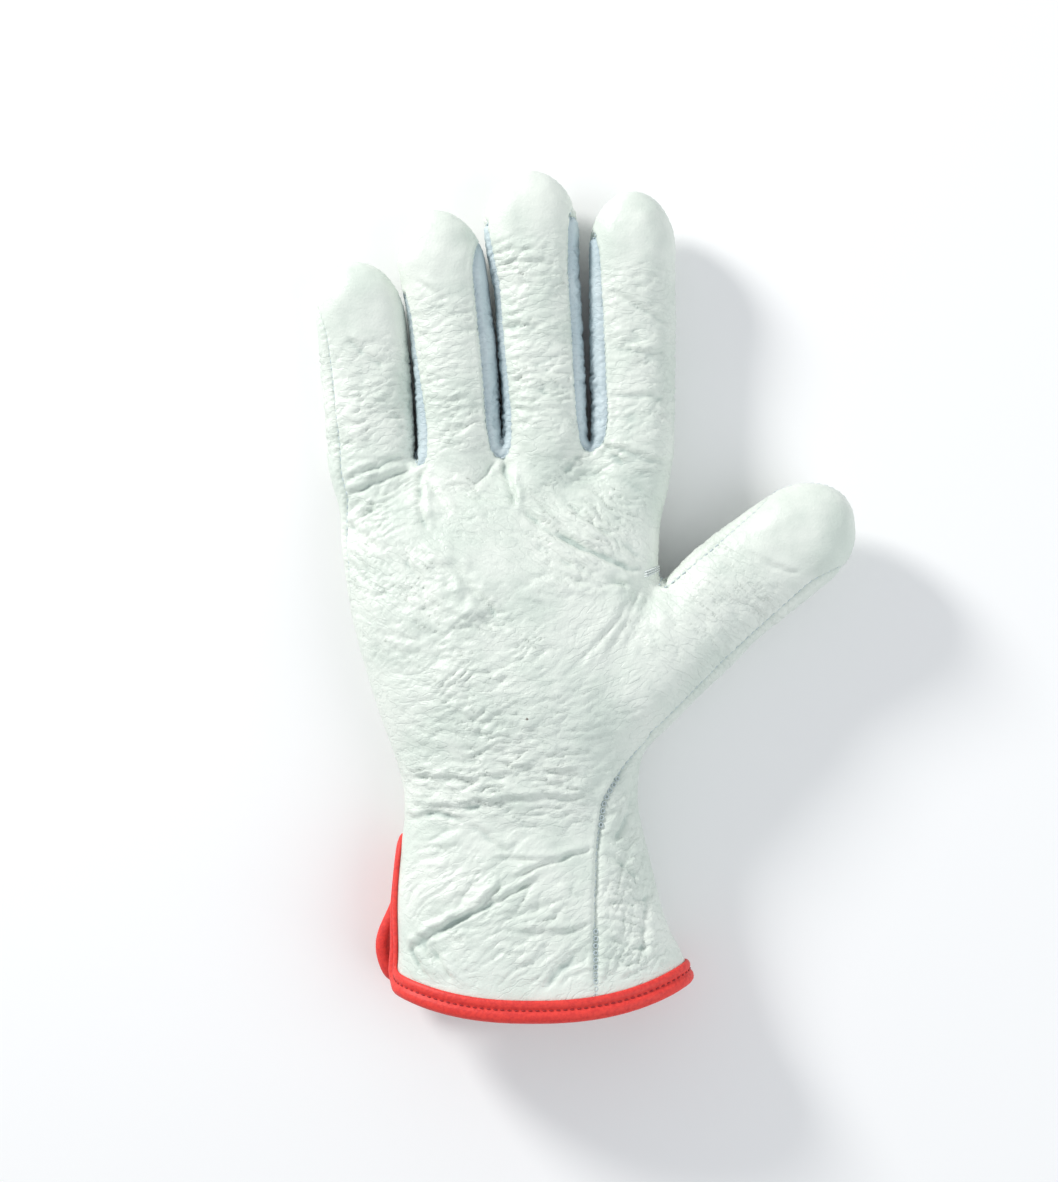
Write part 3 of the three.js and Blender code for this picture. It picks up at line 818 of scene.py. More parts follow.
def creases(along, across, height, spacing, stretch, seed):
    """Pillows between sharp crease lines: 0 on a line and nearly 1 between lines."""
    sway = noise(np.stack([along / 9, across / 9, height / 9], 1), seed + 50)
    places = [along / (spacing * stretch), across / spacing + 0.9 * sway, height / (spacing * stretch)]
    value = noise(np.stack(places, 1), seed)
    return 1 - np.exp(-np.abs(value) / CREASE_SHARPNESS)


x, y, z = skin.T
facing = np.clip(normals[:, 2], 0, 1)
relief = np.zeros(len(skin))
print(f"points that face up: {np.mean(facing > 0.5):.0%}")

# %% Small creases across the digits
DIGIT_CREASE_DEPTH = 2.6
THUMB_LEAN = 35
# name, spacing, depth near the root, depth near the tip, how far from the tip they stop
DIGIT_CREASES = [
    ("little", 2.3, 0.42, 0.3, 5),
    ("ring", 2.4, 0.42, 0.26, 7),
    ("middle", 2.3, 0.46, 0.36, 2),
    ("index", 2.4, 0.46, 0.3, 4),
    ("thumb", 2.2, 0.12, 0.3, 12),
]
digit_share = np.zeros(len(skin))
tip_share = np.zeros(len(skin))
lean = np.zeros(len(skin))
for seed, (name, spacing, root_depth, tip_depth, stop) in enumerate(DIGIT_CREASES):
    digit = next(d for d in digits if d.name == name)
    s, u = digit.locate(skin)
    half = digit.section(s)[0]
    on_digit = smoothstep(-4, 8, s) * (1 - smoothstep(half + 1.5, half + 3, np.abs(u)))
    if name == "thumb":
        on_digit *= smoothstep(28, 44, s)
        lean = lean - THUMB_LEAN * on_digit
    else:
        on_digit *= finger_index == seed
    near = on_digit > 0
    share, s, u, height = on_digit[near], s[near], u[near], z[near]
    before_tip = 1 - smoothstep(-stop - 6, -stop + 4, s - digit.tip_start)
    depth = mix(root_depth, tip_depth, smoothstep(0, 0.7, s / digit.length))
    patchy = 0.45 + 0.75 * smoothstep(-0.5, 0.5, noise(skin[near] / 13, 300 + seed))
    main = creases(u, s, height, spacing, 4.6, 10 + seed)
    crossing = creases(u + 0.4 * s, s - 0.4 * u, height, 1.5 * spacing, 3.6, 20 + seed)
    fine = creases(u, s, height, 0.62 * spacing, 4.2, 40 + seed)
    pattern = 0.75 * main + 0.45 * crossing + 0.3 * fine - 1.0
    relief[near] += DIGIT_CREASE_DEPTH * share * before_tip * depth * patchy * pattern
    relief[near] += share * (1 - before_tip) * 0.15 * noise(skin[near] / 4, 30 + seed)
    digit_share = np.maximum(digit_share, on_digit)
    tip_share[near] = np.maximum(tip_share[near], share * (1 - before_tip))
print(f"on the digits the creases are up to {-relief.min():.2f} mm deep")

# %% Small creases on the palm, the wrist and the cuff
PALM_CREASE_DEPTH = 2.0
# x, y, half width, half height, direction of the creases in degrees, spacing, depth
ZONES = [
    (-38, 158, 15, 16, 20, 2.6, 0.55),
    (-44, 140, 10, 16, -40, 2.6, 0.5),
    (-12, 154, 16, 12, -22, 2.5, 0.4),
    (22, 150, 22, 16, -32, 2.8, 0.55),
    (30, 168, 24, 8, 4, 2.4, 0.5),
    (18, 132, 20, 9, -22, 2.3, 0.35),
    (-30, 124, 20, 20, -30, 2.4, 0.5),
    (-8, 114, 26, 18, -28, 3.0, 0.42),
    (-8, 108, 28, 22, 24, 3.2, 0.36),
    (4, 90, 34, 13, 10, 2.8, 0.42),
    (-10, 92, 30, 14, -16, 3.0, 0.36),
    (-2, 72, 38, 11, 2, 2.5, 0.6),
    (0, 62, 38, 14, -8, 3.4, 0.4),
    (-8, 40, 34, 20, 26, 3.2, 0.45),
    (4, 24, 36, 20, 14, 3.6, 0.34),
    (-24, 16, 14, 14, -55, 3.4, 0.5),
    (20, 14, 18, 16, 48, 3.2, 0.36),
    (42, 30, 14, 34, -14, 2.6, 0.5),
    (42, 40, 14, 40, 62, 2.8, 0.4),
    (40, 64, 10, 14, 50, 2.2, 0.5),
    (34, 112, 14, 18, 58, 2.8, 0.2),
    (52, 116, 18, 16, -58, 2.2, 0.26),
]
lean_total = np.zeros(len(skin))
lean_share = np.full(len(skin), 0.05)
for seed, (zone_x, zone_y, wide, high, direction, spacing, depth) in enumerate(ZONES):
    turned = math.radians(direction)
    away_x, away_y = x - zone_x, y - zone_y
    share = np.exp(-((away_x / wide) ** 2 + (away_y / high) ** 2) ** 1.5)
    lean_total += share * direction
    lean_share += share
    near = share * facing * (1 - digit_share) > 0.01
    away_x, away_y, height = away_x[near], away_y[near], z[near]
    along = away_x * math.cos(turned) + away_y * math.sin(turned)
    across = -away_x * math.sin(turned) + away_y * math.cos(turned)
    pattern = creases(along, across, height, spacing, 4.2, 60 + seed) - 0.65
    pattern += 0.4 * (creases(along, across, height, 0.6 * spacing, 3.8, 160 + seed) - 0.65)
    patchy = 0.5 + 0.7 * smoothstep(-0.5, 0.5, noise(skin[near] / 11, 400 + seed))
    strength = (share * facing * (1 - digit_share))[near]
    relief[near] += PALM_CREASE_DEPTH * strength * depth * patchy * pattern
lean += (1 - digit_share) * np.clip(lean_total / lean_share, -40, 40)

# The back is only creased lightly, across the hand
behind = np.clip(-normals[:, 2] + 0.4, 0, 1) * (1 - digit_share)
relief += behind * 0.3 * (creases(x, y, z, 3.4, 3.0, 7) - 0.65)
print(f"small creases reach from {relief.min():.2f} to {relief.max():.2f} mm")

# %% The bigger folds' places
# start, bend and end in plan, then depth and width; a depth below zero is a ridge
FOLDS = [
    ((-48, 205), (-43, 199), (-35, 195), 0.6, 1.4),
    ((-25, 166), (-27, 155), (-23, 145), 1.1, 1.7),
    ((-25, 166), (-21, 157), (-16, 150), 0.5, 1.4),
    ((0, 171), (1, 160), (3.5, 152), 1.2, 1.5),
    ((0, 171), (-4, 163), (-10, 158), 0.5, 1.4),
    ((27.5, 174), (32, 169), (37, 165), 0.6, 1.3),
    ((27.5, 174), (24, 168), (17, 163), 0.5, 1.5),
    ((-27, 222), (-22, 218), (-17, 215), 0.4, 1.3),
    ((-3, 225), (6, 229), (17, 226), 0.45, 1.1),
    ((-1, 207), (5, 209), (14, 204), 0.5, 1.1),
    ((32, 219), (41, 212), (52, 208), 0.6, 1.3),
    ((32, 201), (41, 198), (51, 201), 0.5, 1.2),
    ((30, 186), (40, 188), (52, 184), 0.45, 1.2),
    ((30, 172), (41, 167), (50, 166), 0.6, 1.4),
    ((1, 183), (9, 181), (21, 184), 0.45, 1.2),
    ((-24, 186), (-15, 184), (-5, 187), 0.4, 1.2),
    ((-49, 155), (-40, 161), (-28, 164), 0.7, 1.4),
    ((-49, 160), (-38, 166), (-29, 169), 0.6, 1.3),
    ((-49, 149), (-43, 145), (-36, 139), 0.6, 1.3),
    ((-50, 143), (-44, 149), (-38, 155), 0.5, 1.3),
    ((43, 133), (29, 137), (11, 149), 1.1, 2.0),
    ((40, 130), (26, 127.5), (11, 134), 0.6, 1.6),
    ((44, 136), (32, 145), (17, 155), 0.7, 1.6),
    ((4, 153), (14, 145), (27, 138), 0.9, 1.7),
    ((40, 128), (24, 133), (8, 142), 0.4, 1.3),
    ((-24, 144), (-18, 131), (-6, 117), -1.7, 6.0),
    ((-31, 139), (-26, 128), (-16, 117), 0.6, 2.2),
    ((-17, 138), (-8, 125), (2, 114), 0.6, 2.0),
    ((41, 130), (38, 120), (31, 108), 0.4, 1.5),
    ((38, 126), (32, 114), (21, 105), 0.4, 1.5),
    ((28, 123), (40, 117), (52, 119), -1.0, 9.0),
    ((-30, 72), (-14, 69.5), (8, 73), 0.6, 1.6),
    ((-30, 64), (-15, 60.5), (1, 64), 0.7, 1.6),
    ((-4, 76), (10, 72), (25, 74), 0.6, 1.5),
    ((-2, 66), (12, 64), (27, 66), 0.5, 1.5),
    ((-30, 58), (-22, 63), (-11, 58), 1.0, 1.6),
    ((-12, 58), (-4, 53), (2, 49), 0.6, 1.5),
    ((-31, 18), (-14, 28), (4, 42), 0.9, 1.4),
    ((2, 41), (15, 47), (28, 51), 0.7, 1.3),
    ((-25, 24), (-6, 32), (13, 43), 0.8, 1.2),
    ((-4, 48), (7, 46), (17, 48), 0.6, 1.1),
    ((-31, 24), (-26, 15), (-22, 6), 0.7, 1.4),
    ((-28, 26), (-18, 18), (-13, 5), 0.6, 1.4),
    ((3, 26), (14, 23), (28, 28), 0.5, 1.5),
    ((9, 6), (16, 13), (23, 20), 0.6, 2.2),
    ((29.5, 50), (36, 45), (41, 41), 0.6, 1.3),
    ((33, 52), (37, 59), (40, 66), 0.9, 2.0),
    ((45, 40), (40, 26), (43, 16), 0.6, 1.7),
    ((30, 24), (38, 20), (48, 22), 0.5, 1.3),
    ((30, 35), (38, 33), (45, 36), 0.5, 1.2),
    ((72, 140), (80, 134), (90, 133), 0.4, 1.4),
]
print("bigger folds:", len(FOLDS), "of them ridges:", sum(row[3] < 0 for row in FOLDS))


# %% Press the folds into the leather
FOLD_DEPTH = 1.7
FOLD_POINTS = 41
DEEPEST = 1.9


def fold(start, bend, end, depth, width):
    """A groove along a curved line in plan, sharp on one side and with a soft ridge on the other."""
    share = np.linspace(0, 1, FOLD_POINTS)[:, None]
    start, bend, end = (np.array(place, dtype=float) for place in (start, bend, end))
    line = (1 - share) ** 2 * start + 2 * share * (1 - share) * bend + share**2 * end
    reach = 4.5 * width + 1
    near = (x > line[:, 0].min() - reach) & (x < line[:, 0].max() + reach)
    near &= (y > line[:, 1].min() - reach) & (y < line[:, 1].max() + reach) & (facing > 0.05)
    places = skin[near][:, :2]
    wobble = 0.8 * noise(skin[near] / 6, 77) + 0.35 * noise(skin[near] / 2.5, 78)
    gaps = places[:, None, :] - line[None, :, :]
    nearest = np.argmin(np.sum(gaps**2, axis=2), axis=1)
    tangent = unit(np.gradient(line, axis=0))[nearest]
    gap = gaps[np.arange(len(nearest)), nearest]
    side = tangent[:, 0] * gap[:, 1] - tangent[:, 1] * gap[:, 0] + wobble
    end_share = nearest / (FOLD_POINTS - 1)
    fade = smoothstep(0, 0.18, end_share) * (1 - smoothstep(0.82, 1, end_share))
    if depth < 0:
        result = -depth * np.exp(-((side / width) ** 2))
    else:
        ridge = np.exp(-(((side - 1.5 * width) / (0.9 * width)) ** 2))
        result = FOLD_DEPTH * depth * (0.55 * ridge - np.exp(-((side / (0.55 * width)) ** 2)))
    uneven = 0.75 + 0.5 * noise(skin[near] / 4, 79)
    relief[near] += result * fade * uneven * np.clip(facing[near] * 1.4, 0, 1)


for row in FOLDS:
    fold(*row)
relief += (0.7 * noise(skin / 16, 5) + 0.3 * noise(skin / 7, 6)) * (0.3 + 0.7 * facing)
# Where folds cross, their depths would add up to more than the leather can give
relief = np.where(relief < 0, DEEPEST * np.tanh(relief / DEEPEST), relief)
print(f"with the folds: {relief.min():.2f} to {relief.max():.2f} mm")

# %% [markdown]
# ## Seams pressed in, a flat hem and the gathered wrist
# The seams come last, on top of the creases, and the creases fade out towards them, because the thread holds
# the leather there. Under the tape the leather stays flat. At the back of the wrist an elastic is sewn in,
# which draws the leather into gathers that run along the hand.


# %% Seams and the flat hem
PALM_SEAM_DEPTH = 0.9
FORK_SEAM_DEPTH = 0.7
SEAM_EDGE = 0.3
SEAM_PUCKER = 0.32


def seam_relief(distance, along, deep, raised=SEAM_EDGE):
    """The valley of a seam, the soft edge beside it and the puckers between its stitches."""
    pull = 0.5 + 0.5 * np.cos(2 * np.pi * along / STITCH)
    valley = -deep * np.exp(-((distance / 0.75) ** 2))
    edge = raised * np.exp(-(((distance - 1.7) / 0.9) ** 2))
    pucker = -SEAM_PUCKER * pull * np.exp(-(((distance - 1.1) / 0.8) ** 2))
    return valley + edge + pucker


calm = np.clip(np.minimum(palm_distance, fork_distance) / 3.0, 0, 1)
relief *= 0.35 + 0.65 * calm
# The palm's side of the seam stands up, and the other side lies lower
raised = np.where(palm_value > 0, SEAM_EDGE, 0.05)
relief += seam_relief(palm_distance, palm_along, PALM_SEAM_DEPTH, raised)
relief += seam_relief(fork_distance, fork_along, FORK_SEAM_DEPTH)
at_hem = smoothstep(6.5, 12, hem_value)
relief = np.where(relief > 0, relief * at_hem, relief * np.maximum(at_hem, 0.25))
moved = skin + relief[:, None] * normals
print(f"the relief moved the leather by up to {np.abs(relief).max():.1f} mm")

# %% Gathers at the back of the wrist
GATHERS = 9
GATHER_DEPTH = 1.6
middle, half = hand.at("middle", y), hand.at("width", y) / 2
share = 1 - np.arccos(np.clip((x - middle) / half, -1, 1)) / np.pi
near_wrist = smoothstep(0, 0.3, 1 - np.abs(y - CUFF_LENGTH) / (0.5 * CUFF_LENGTH))
under = smoothstep(0.1, 0.6, -normals[:, 2]) * (1 - digit_share)
moved[:, 2] += under * near_wrist * GATHER_DEPTH * np.sin(share * GATHERS * np.pi) ** 2
moved[:, 2] = np.maximum(moved[:, 2], 0)
print(f"{GATHERS} gathers, up to {(under * near_wrist).max() * GATHER_DEPTH:.1f} mm high")

# %% How thick the leather is at each point
# The inner face passes below the deepest creases nearby, so that the wall is nowhere too thin
WALL = 1.4
lowest = relief.copy()
for _ in range(3):
    lower = lowest.copy()
    np.minimum.at(lower, edges[:, 0], lowest[edges[:, 1]])
    np.minimum.at(lower, edges[:, 1], lowest[edges[:, 0]])
    lowest = lower
wall = WALL + relief - relax_values(lowest, edges, 0.6, 4)
print(f"the wall is {wall.min():.1f} to {wall.max():.1f} mm thick")

# %% [markdown]
# ## Cutting the pieces
# A knife line through a mesh could be made with a boolean, which is slow on so many faces and can fail.
# Here each triangle that the line crosses is split by hand: its crossed sides get a point where the field
# is zero. All columns of the table are split with it, so each cut piece keeps its relief and directions.

# %% Cut the skin along a field
def cut(points, triangles, values, inside=True):
    """Keeps the part where the values are above zero (or below it), with a clean edge along zero."""
    keep = values > 0 if inside else values < 0
    corners = keep[triangles]
    count = corners.sum(1)
    whole = triangles[count == 3]
    extra, faces, known = [], [], {}

    def crossing(a, b):
        key = (min(a, b), max(a, b))
        if key not in known:
            share = values[key[0]] / (values[key[0]] - values[key[1]])
            known[key] = len(points) + len(extra)
            extra.append(mix(points[key[0]], points[key[1]], share))
        return known[key]

    for triangle, corner in zip(triangles[count == 1].tolist(), corners[count == 1].tolist()):
        i = corner.index(True)
        a, b, c = triangle[i], triangle[(i + 1) % 3], triangle[(i + 2) % 3]
        faces.append((a, crossing(a, b), crossing(a, c)))
    for triangle, corner in zip(triangles[count == 2].tolist(), corners[count == 2].tolist()):
        i = corner.index(False)
        a, b, c = triangle[i], triangle[(i + 1) % 3], triangle[(i + 2) % 3]
        on_b, on_c = crossing(a, b), crossing(a, c)
        faces.append((on_b, b, c))
        faces.append((on_b, c, on_c))
    points = np.concatenate([points, extra]) if extra else points
    triangles = np.concatenate([whole, faces]) if faces else whole
    return drop_unused(points, triangles)


def drop_unused(points, triangles):
    used = np.zeros(len(points), bool)
    used[triangles] = True
    number = np.cumsum(used) - 1
    return points[used], number[triangles]


# %% Keep only the largest part of a cut
def largest_part(points, triangles):
    """Keeps the largest connected part and drops slivers."""
    label = np.arange(len(points))
    pairs = edges_of(triangles)
    while True:
        low = np.minimum(label[pairs[:, 0]], label[pairs[:, 1]])
        new = label.copy()
        np.minimum.at(new, pairs[:, 0], low)
        np.minimum.at(new, pairs[:, 1], low)
        new = new[new]
        if np.array_equal(new, label):
            break
        label = new
    most = np.bincount(label[triangles[:, 0]]).argmax()
    return drop_unused(points, triangles[label[triangles[:, 0]] == most])


# %% Cut the glove into its five leather pieces
# Columns of one table: place, smooth normal, the fields, and what the materials and the wall need
worn = 1 - tip_share
fields = [palm_value, *fork_values, hem_value]
table = np.column_stack([moved, normals, *fields, relief, lean, worn, wall])
PLACE, NORMAL = slice(0, 3), slice(3, 6)
PALM, FORK, HEM, RELIEF, LEAN, WORN, DEPTH = 6, 7, 10, 11, 12, 13, 14
glove, glove_faces = cut(table, triangles, table[:, HEM])
glove, glove_faces = largest_part(glove, glove_faces)
parts = {"palm_panel": cut(glove, glove_faces, glove[:, PALM])}
rest, rest_faces = cut(glove, glove_faces, glove[:, PALM], inside=False)
fork_names = ["little_ring_fork", "ring_middle_fork", "middle_index_fork"]
for i, name in enumerate(fork_names):
    parts[name] = cut(rest, rest_faces, rest[:, FORK + i])
    rest, rest_faces = cut(rest, rest_faces, rest[:, FORK + i], inside=False)
parts["back_panel"] = (rest, rest_faces)
parts = {name: largest_part(*part) for name, part in parts.items()}
for name, (points, faces) in parts.items():
    print(f"{name}: {len(faces)} triangles")

# %% [markdown]
# ## Colours and surfaces
# The leather is white with a cool, slightly green cast. Its surface has a grain of pores and hairline
# creases too small to model, so these go into the shader as a bump. The creases that are modelled are a
# little darker at their bottom as painted shade, and the hairline creases darken it a little too. The sums
# are written as plain expressions by a small class that stands for a value in the shader.

# %% Node values as plain sums
class Value:
    """One output of a node, which can be added, multiplied and so on."""

    def __init__(self, nodes, socket):
        self.nodes = nodes
        self.socket = socket

    def make(self, kind, settings=None, inputs=None, output=0):
        """Adds any node, with its settings and inputs, and returns one of its outputs as a Value."""
        node = self.nodes.new(kind)
        for name, setting in (settings or {}).items():
            setattr(node, name, setting)
        for name, given in (inputs or {}).items():
            if isinstance(given, Value):
                self.nodes.id_data.links.new(given.socket, node.inputs[name])
            else:
                node.inputs[name].default_value = given
        return Value(self.nodes, node.outputs[output])

    def sum_of(self, operation, *given):
        return self.make("ShaderNodeMath", {"operation": operation}, dict(enumerate(given)))

    def __add__(self, other):
        return self.sum_of("ADD", self, other)

    def __radd__(self, other):
        return self.sum_of("ADD", other, self)

    def __sub__(self, other):
        return self.sum_of("SUBTRACT", self, other)

    def __rsub__(self, other):
        return self.sum_of("SUBTRACT", other, self)

    def __mul__(self, other):
        return self.sum_of("MULTIPLY", self, other)

    def __rmul__(self, other):
        return self.sum_of("MULTIPLY", other, self)

    def size(self):
        return self.sum_of("ABSOLUTE", self)

    def between(self, low, high):
        """0 at low and below, 1 at high and above, smooth in between."""
        settings = {"interpolation_type": "SMOOTHSTEP"}
        inputs = {"Value": self, "From Min": low, "From Max": high}
        return self.make("ShaderNodeMapRange", settings, inputs)

    def blend(self, first, second):
        """The first colour where this is 0 and the second where it is 1."""
        inputs = {0: self, 6: first, 7: second}
        return self.make("ShaderNodeMix", {"data_type": "RGBA"}, inputs, output=2)

    def spots(self, scale, detail=3.0, rough=0.5, stretch=None, turned=0.0):
        """Noise over this vector, between 0 and 1, stretched along a direction if asked."""
        place = self
        if stretch:
            rotation = (0, 0, math.radians(-turned))
            mapping = {"Vector": self, "Rotation": rotation}
            place = self.make("ShaderNodeMapping", {"vector_type": "POINT"}, mapping)
            place = place.make("ShaderNodeMapping", None, {"Vector": place, "Scale": stretch})
        inputs = {"Vector": place, "Scale": scale, "Detail": detail, "Roughness": rough}
        return self.make("ShaderNodeTexNoise", None, inputs)

    def as_bump(self, strength, distance):
        """This height as a bump, in metres, for a shader's Normal."""
        inputs = {"Height": self, "Strength": strength, "Distance": distance}
        return self.make("ShaderNodeBump", None, inputs)


print("sums on a Value add Math nodes:", ", ".join(("add", "subtract", "multiply", "absolute")))


# %% The start of every material
def start_material(name):
    """A new material, its shader node and its object coordinates."""
    material = bpy.data.materials.new(name)
    material.use_nodes = True
    nodes = material.node_tree.nodes
    shader = nodes["Principled BSDF"]
    place = Value(nodes, nodes.new("ShaderNodeTexCoord").outputs["Object"])
    return material, shader, place


def wire(value, shader, name):
    value.nodes.id_data.links.new(value.socket, shader.inputs[name])


def attribute(place, name):
    return place.make("ShaderNodeAttribute", {"attribute_name": name}, None, "Fac")


# %% [markdown]
# The fine grain is four sizes of pattern on top of each other: pores, a grain, pebbles, and hairline creases
# that run the way the modelled creases run. One crease pattern can't turn smoothly from place to place,
# so three fixed directions fade into each other, by how far the creases lean at each point.

# %% Leather
HAIRLINE_SCALE = 400.0
HAIRLINE_STRETCH = (0.42, 1.0, 0.6)
# The one dark speck on the palm, in the object's own frame, in metres
SPECK = (-0.0178, -0.0373, 0.0055)
SPECK_FLATTENED = (1, 1, 0.15)
SPECK_COLOUR = (0.16, 0.13, 0.11, 1)


def hairlines(place, turned):
    """Fine creases in one direction: 0 in the creases and 1 between them."""
    spots = place.spots(HAIRLINE_SCALE, detail=1.5, stretch=HAIRLINE_STRETCH, turned=turned)
    return (spots - 0.5).size().between(0.0, 0.06)


def speck_of(place):
    """1 on the speck and 0 around it, with an uneven edge."""
    multiply, distance = {"operation": "MULTIPLY"}, {"operation": "DISTANCE"}
    flattened = place.make("ShaderNodeVectorMath", multiply, {0: place, 1: SPECK_FLATTENED})
    away = place.make("ShaderNodeVectorMath", distance, {0: flattened, 1: SPECK}, output=1)
    return (away + place.spots(2500.0, detail=2.0) * 0.0006).between(0.0009, 0.0005)


def leather_material(name, light, shade, deep, roughness):
    material, shader, place = start_material(name)
    lean = attribute(place, "lean")
    cloudy = place.spots(45.0, detail=4.0, rough=0.6).between(0.35, 0.68)
    # Painted shade: the colour turns towards the deep colour at the bottom of the modelled creases
    groove = attribute(place, "relief").between(-0.3, -1.5)
    colour = (groove * 0.6).blend(cloudy.blend(light, shade), deep)
    lines = lean.size().between(14.0, 0.0) * hairlines(place, 0.0)
    lines = lines + lean.between(6.0, 24.0) * hairlines(place, 28.0)
    lines = lines + lean.between(-6.0, -24.0) * hairlines(place, -32.0)
    lines = 1.0 - attribute(place, "worn") * (1.0 - lines)
    cells = {"Vector": place, "Scale": 1500.0, "Randomness": 1.0}
    pores = place.make("ShaderNodeTexVoronoi", {"feature": "F1"}, cells)
    grain = place.spots(900.0, detail=4.0, rough=0.65)
    pebbles = place.spots(330.0, detail=3.0, rough=0.6)
    height = lines * 0.4 + pores * 0.25 + grain * 0.5 + pebbles * 0.7
    # Painted shade: the hairline creases darken the colour a little towards the deep colour
    colour = (lines * 0.07 + 0.93).blend(deep, colour)
    wire(speck_of(place).blend(colour, SPECK_COLOUR), shader, "Base Color")
    wire(roughness + groove * 0.15 + grain * 0.08, shader, "Roughness")
    wire(height.as_bump(0.55, 0.0004), shader, "Normal")
    shader.inputs["Specular IOR Level"].default_value = 0.5
    print(f"{name}: {len(material.node_tree.nodes)} nodes")
    return material


# deep is the painted shade colour at the bottom of the creases
leather = leather_material(
    "white leather",
    light=(0.77, 0.815, 0.755, 1),
    shade=(0.645, 0.715, 0.65, 1),
    deep=(0.33, 0.43, 0.40, 1),
    roughness=0.42,
)
# Painted shade: the forks are the same white leather, and this copy is darker and bluer for the shade
# between the fingers
fork_leather_in_shade = leather_material(
    "fork leather in painted shade",
    light=(0.58, 0.67, 0.70, 1),
    shade=(0.48, 0.58, 0.62, 1),
    deep=(0.34, 0.44, 0.5, 1),
    roughness=0.5,
)


# %% [markdown]
# Tape and thread are spun fibre. Their colour and their bump come from one fine noise, so that a fibre which
# stands up is also the darker one. The red tape is nearly as saturated as paint, and its thread is darker.

# %% Tape and thread
def fibre_material(name, colour, darker, roughness, scale):
    material, shader, place = start_material(name)
    fibres = place.spots(scale, detail=3.0, rough=0.6)
    wire(fibres.between(0.35, 0.7).blend(colour, darker), shader, "Base Color")
    wire(fibres.as_bump(0.4, 0.0003), shader, "Normal")
    shader.inputs["Roughness"].default_value = roughness
    return material


TAPE_FIBRE = 900.0
THREAD_FIBRE = 3000.0
tape = fibre_material("red tape", (0.82, 0.047, 0.034, 1), (0.66, 0.028, 0.026, 1), 0.55, TAPE_FIBRE)
# Painted shade: the seam thread is white, and here it is coloured darker and bluer, as it looks down in the
# seams
threads = {}
for name, colour, darker in (
    ("seam thread in painted shade", (0.62, 0.7, 0.72, 1), (0.4, 0.48, 0.52, 1)),
    ("knot thread", (0.78, 0.82, 0.8, 1), (0.6, 0.66, 0.66, 1)),
    ("tape thread", (0.42, 0.02, 0.025, 1), (0.28, 0.01, 0.015, 1)),
):
    threads[name] = fibre_material(name, colour, darker, 0.6, THREAD_FIBRE)
print("fibres:", tape.name, "and", ", ".join(threads))

# %% [markdown]
# ## Leather with a thickness
# Each cut part becomes a thin wall: the outer skin, a copy of it a leather's thickness inside, and a narrow
# rim between them. A Solidify modifier could do this, but here the copy is moved along the smooth normals,
# so that it stays even below the creases. The inner copy is hardly seen, so it keeps fewer faces.

# %% From the drawing to the model's own place
# The drawing has its zero at the middle of the hem, and the model under the middle of its outline
FROM_DRAWING = np.array([24.756, 126.623, 0.0])


def to_metres(points):
    return (points - FROM_DRAWING) * MM


def open_edges(triangles):
    pairs = np.concatenate([triangles[:, [0, 1]], triangles[:, [1, 2]], triangles[:, [2, 0]]])
    ordered = np.sort(pairs, axis=1)
    code = ordered[:, 0] * (triangles.max() + 1) + ordered[:, 1]
    _, first, count = np.unique(code, return_index=True, return_counts=True)
    return pairs[first[count == 1]]


def mesh_of(name, points, faces):
    mesh = bpy.data.meshes.new(name)
    mesh.from_pydata(to_metres(points).tolist(), [], faces.tolist())
    return mesh


def add_object(name, mesh, material):
    mesh.materials.append(material)
    mesh.polygons.foreach_set("use_smooth", np.ones(len(mesh.polygons), bool))
    piece = bpy.data.objects.new(name, mesh)
    bpy.context.scene.collection.objects.link(piece)
    return piece


print("the hem's middle is at", np.round(to_metres(np.zeros(3)), 4).tolist(), "m")

# %% Fewer faces where nobody looks
PANEL_FACES = {"palm_panel": 196000, "back_panel": 190000}
STRAY = 0.25
drawing_origin = Vector(FROM_DRAWING)
fine_surface = BVHTree.FromPolygons(moved.tolist(), triangles.tolist())


def thin_out(piece, chosen, faces_wanted):
    """Decimates only the chosen points: the inner copy of the skin and what lies on the table."""
    inside = piece.vertex_groups.new(name="inside")
    inside.add(np.flatnonzero(chosen).tolist(), 1.0, "REPLACE")
    fewer = piece.modifiers.new("fewer inside", "DECIMATE")
    fewer.ratio = min(faces_wanted / len(piece.data.polygons), 1)
    fewer.vertex_group = "inside"
    graph = bpy.context.evaluated_depsgraph_get()
    baked = bpy.data.meshes.new_from_object(piece.evaluated_get(graph), depsgraph=graph)
    piece.modifiers.clear()
    piece.vertex_groups.clear()
    piece.data = baked
    # A few points may have been thrown outside, so these go back to their place inside the wall
    strays = 0
    for vertex in baked.vertices:
        place = vertex.co / MM + drawing_origin
        hit, direction, _, distance = fine_surface.find_nearest(place)
        if distance > STRAY and (place - hit).dot(direction) > 0:
            vertex.co = (hit - WALL * direction - drawing_origin) * MM
            strays += 1
    print(f"{piece.name}: {strays} stray points put back")


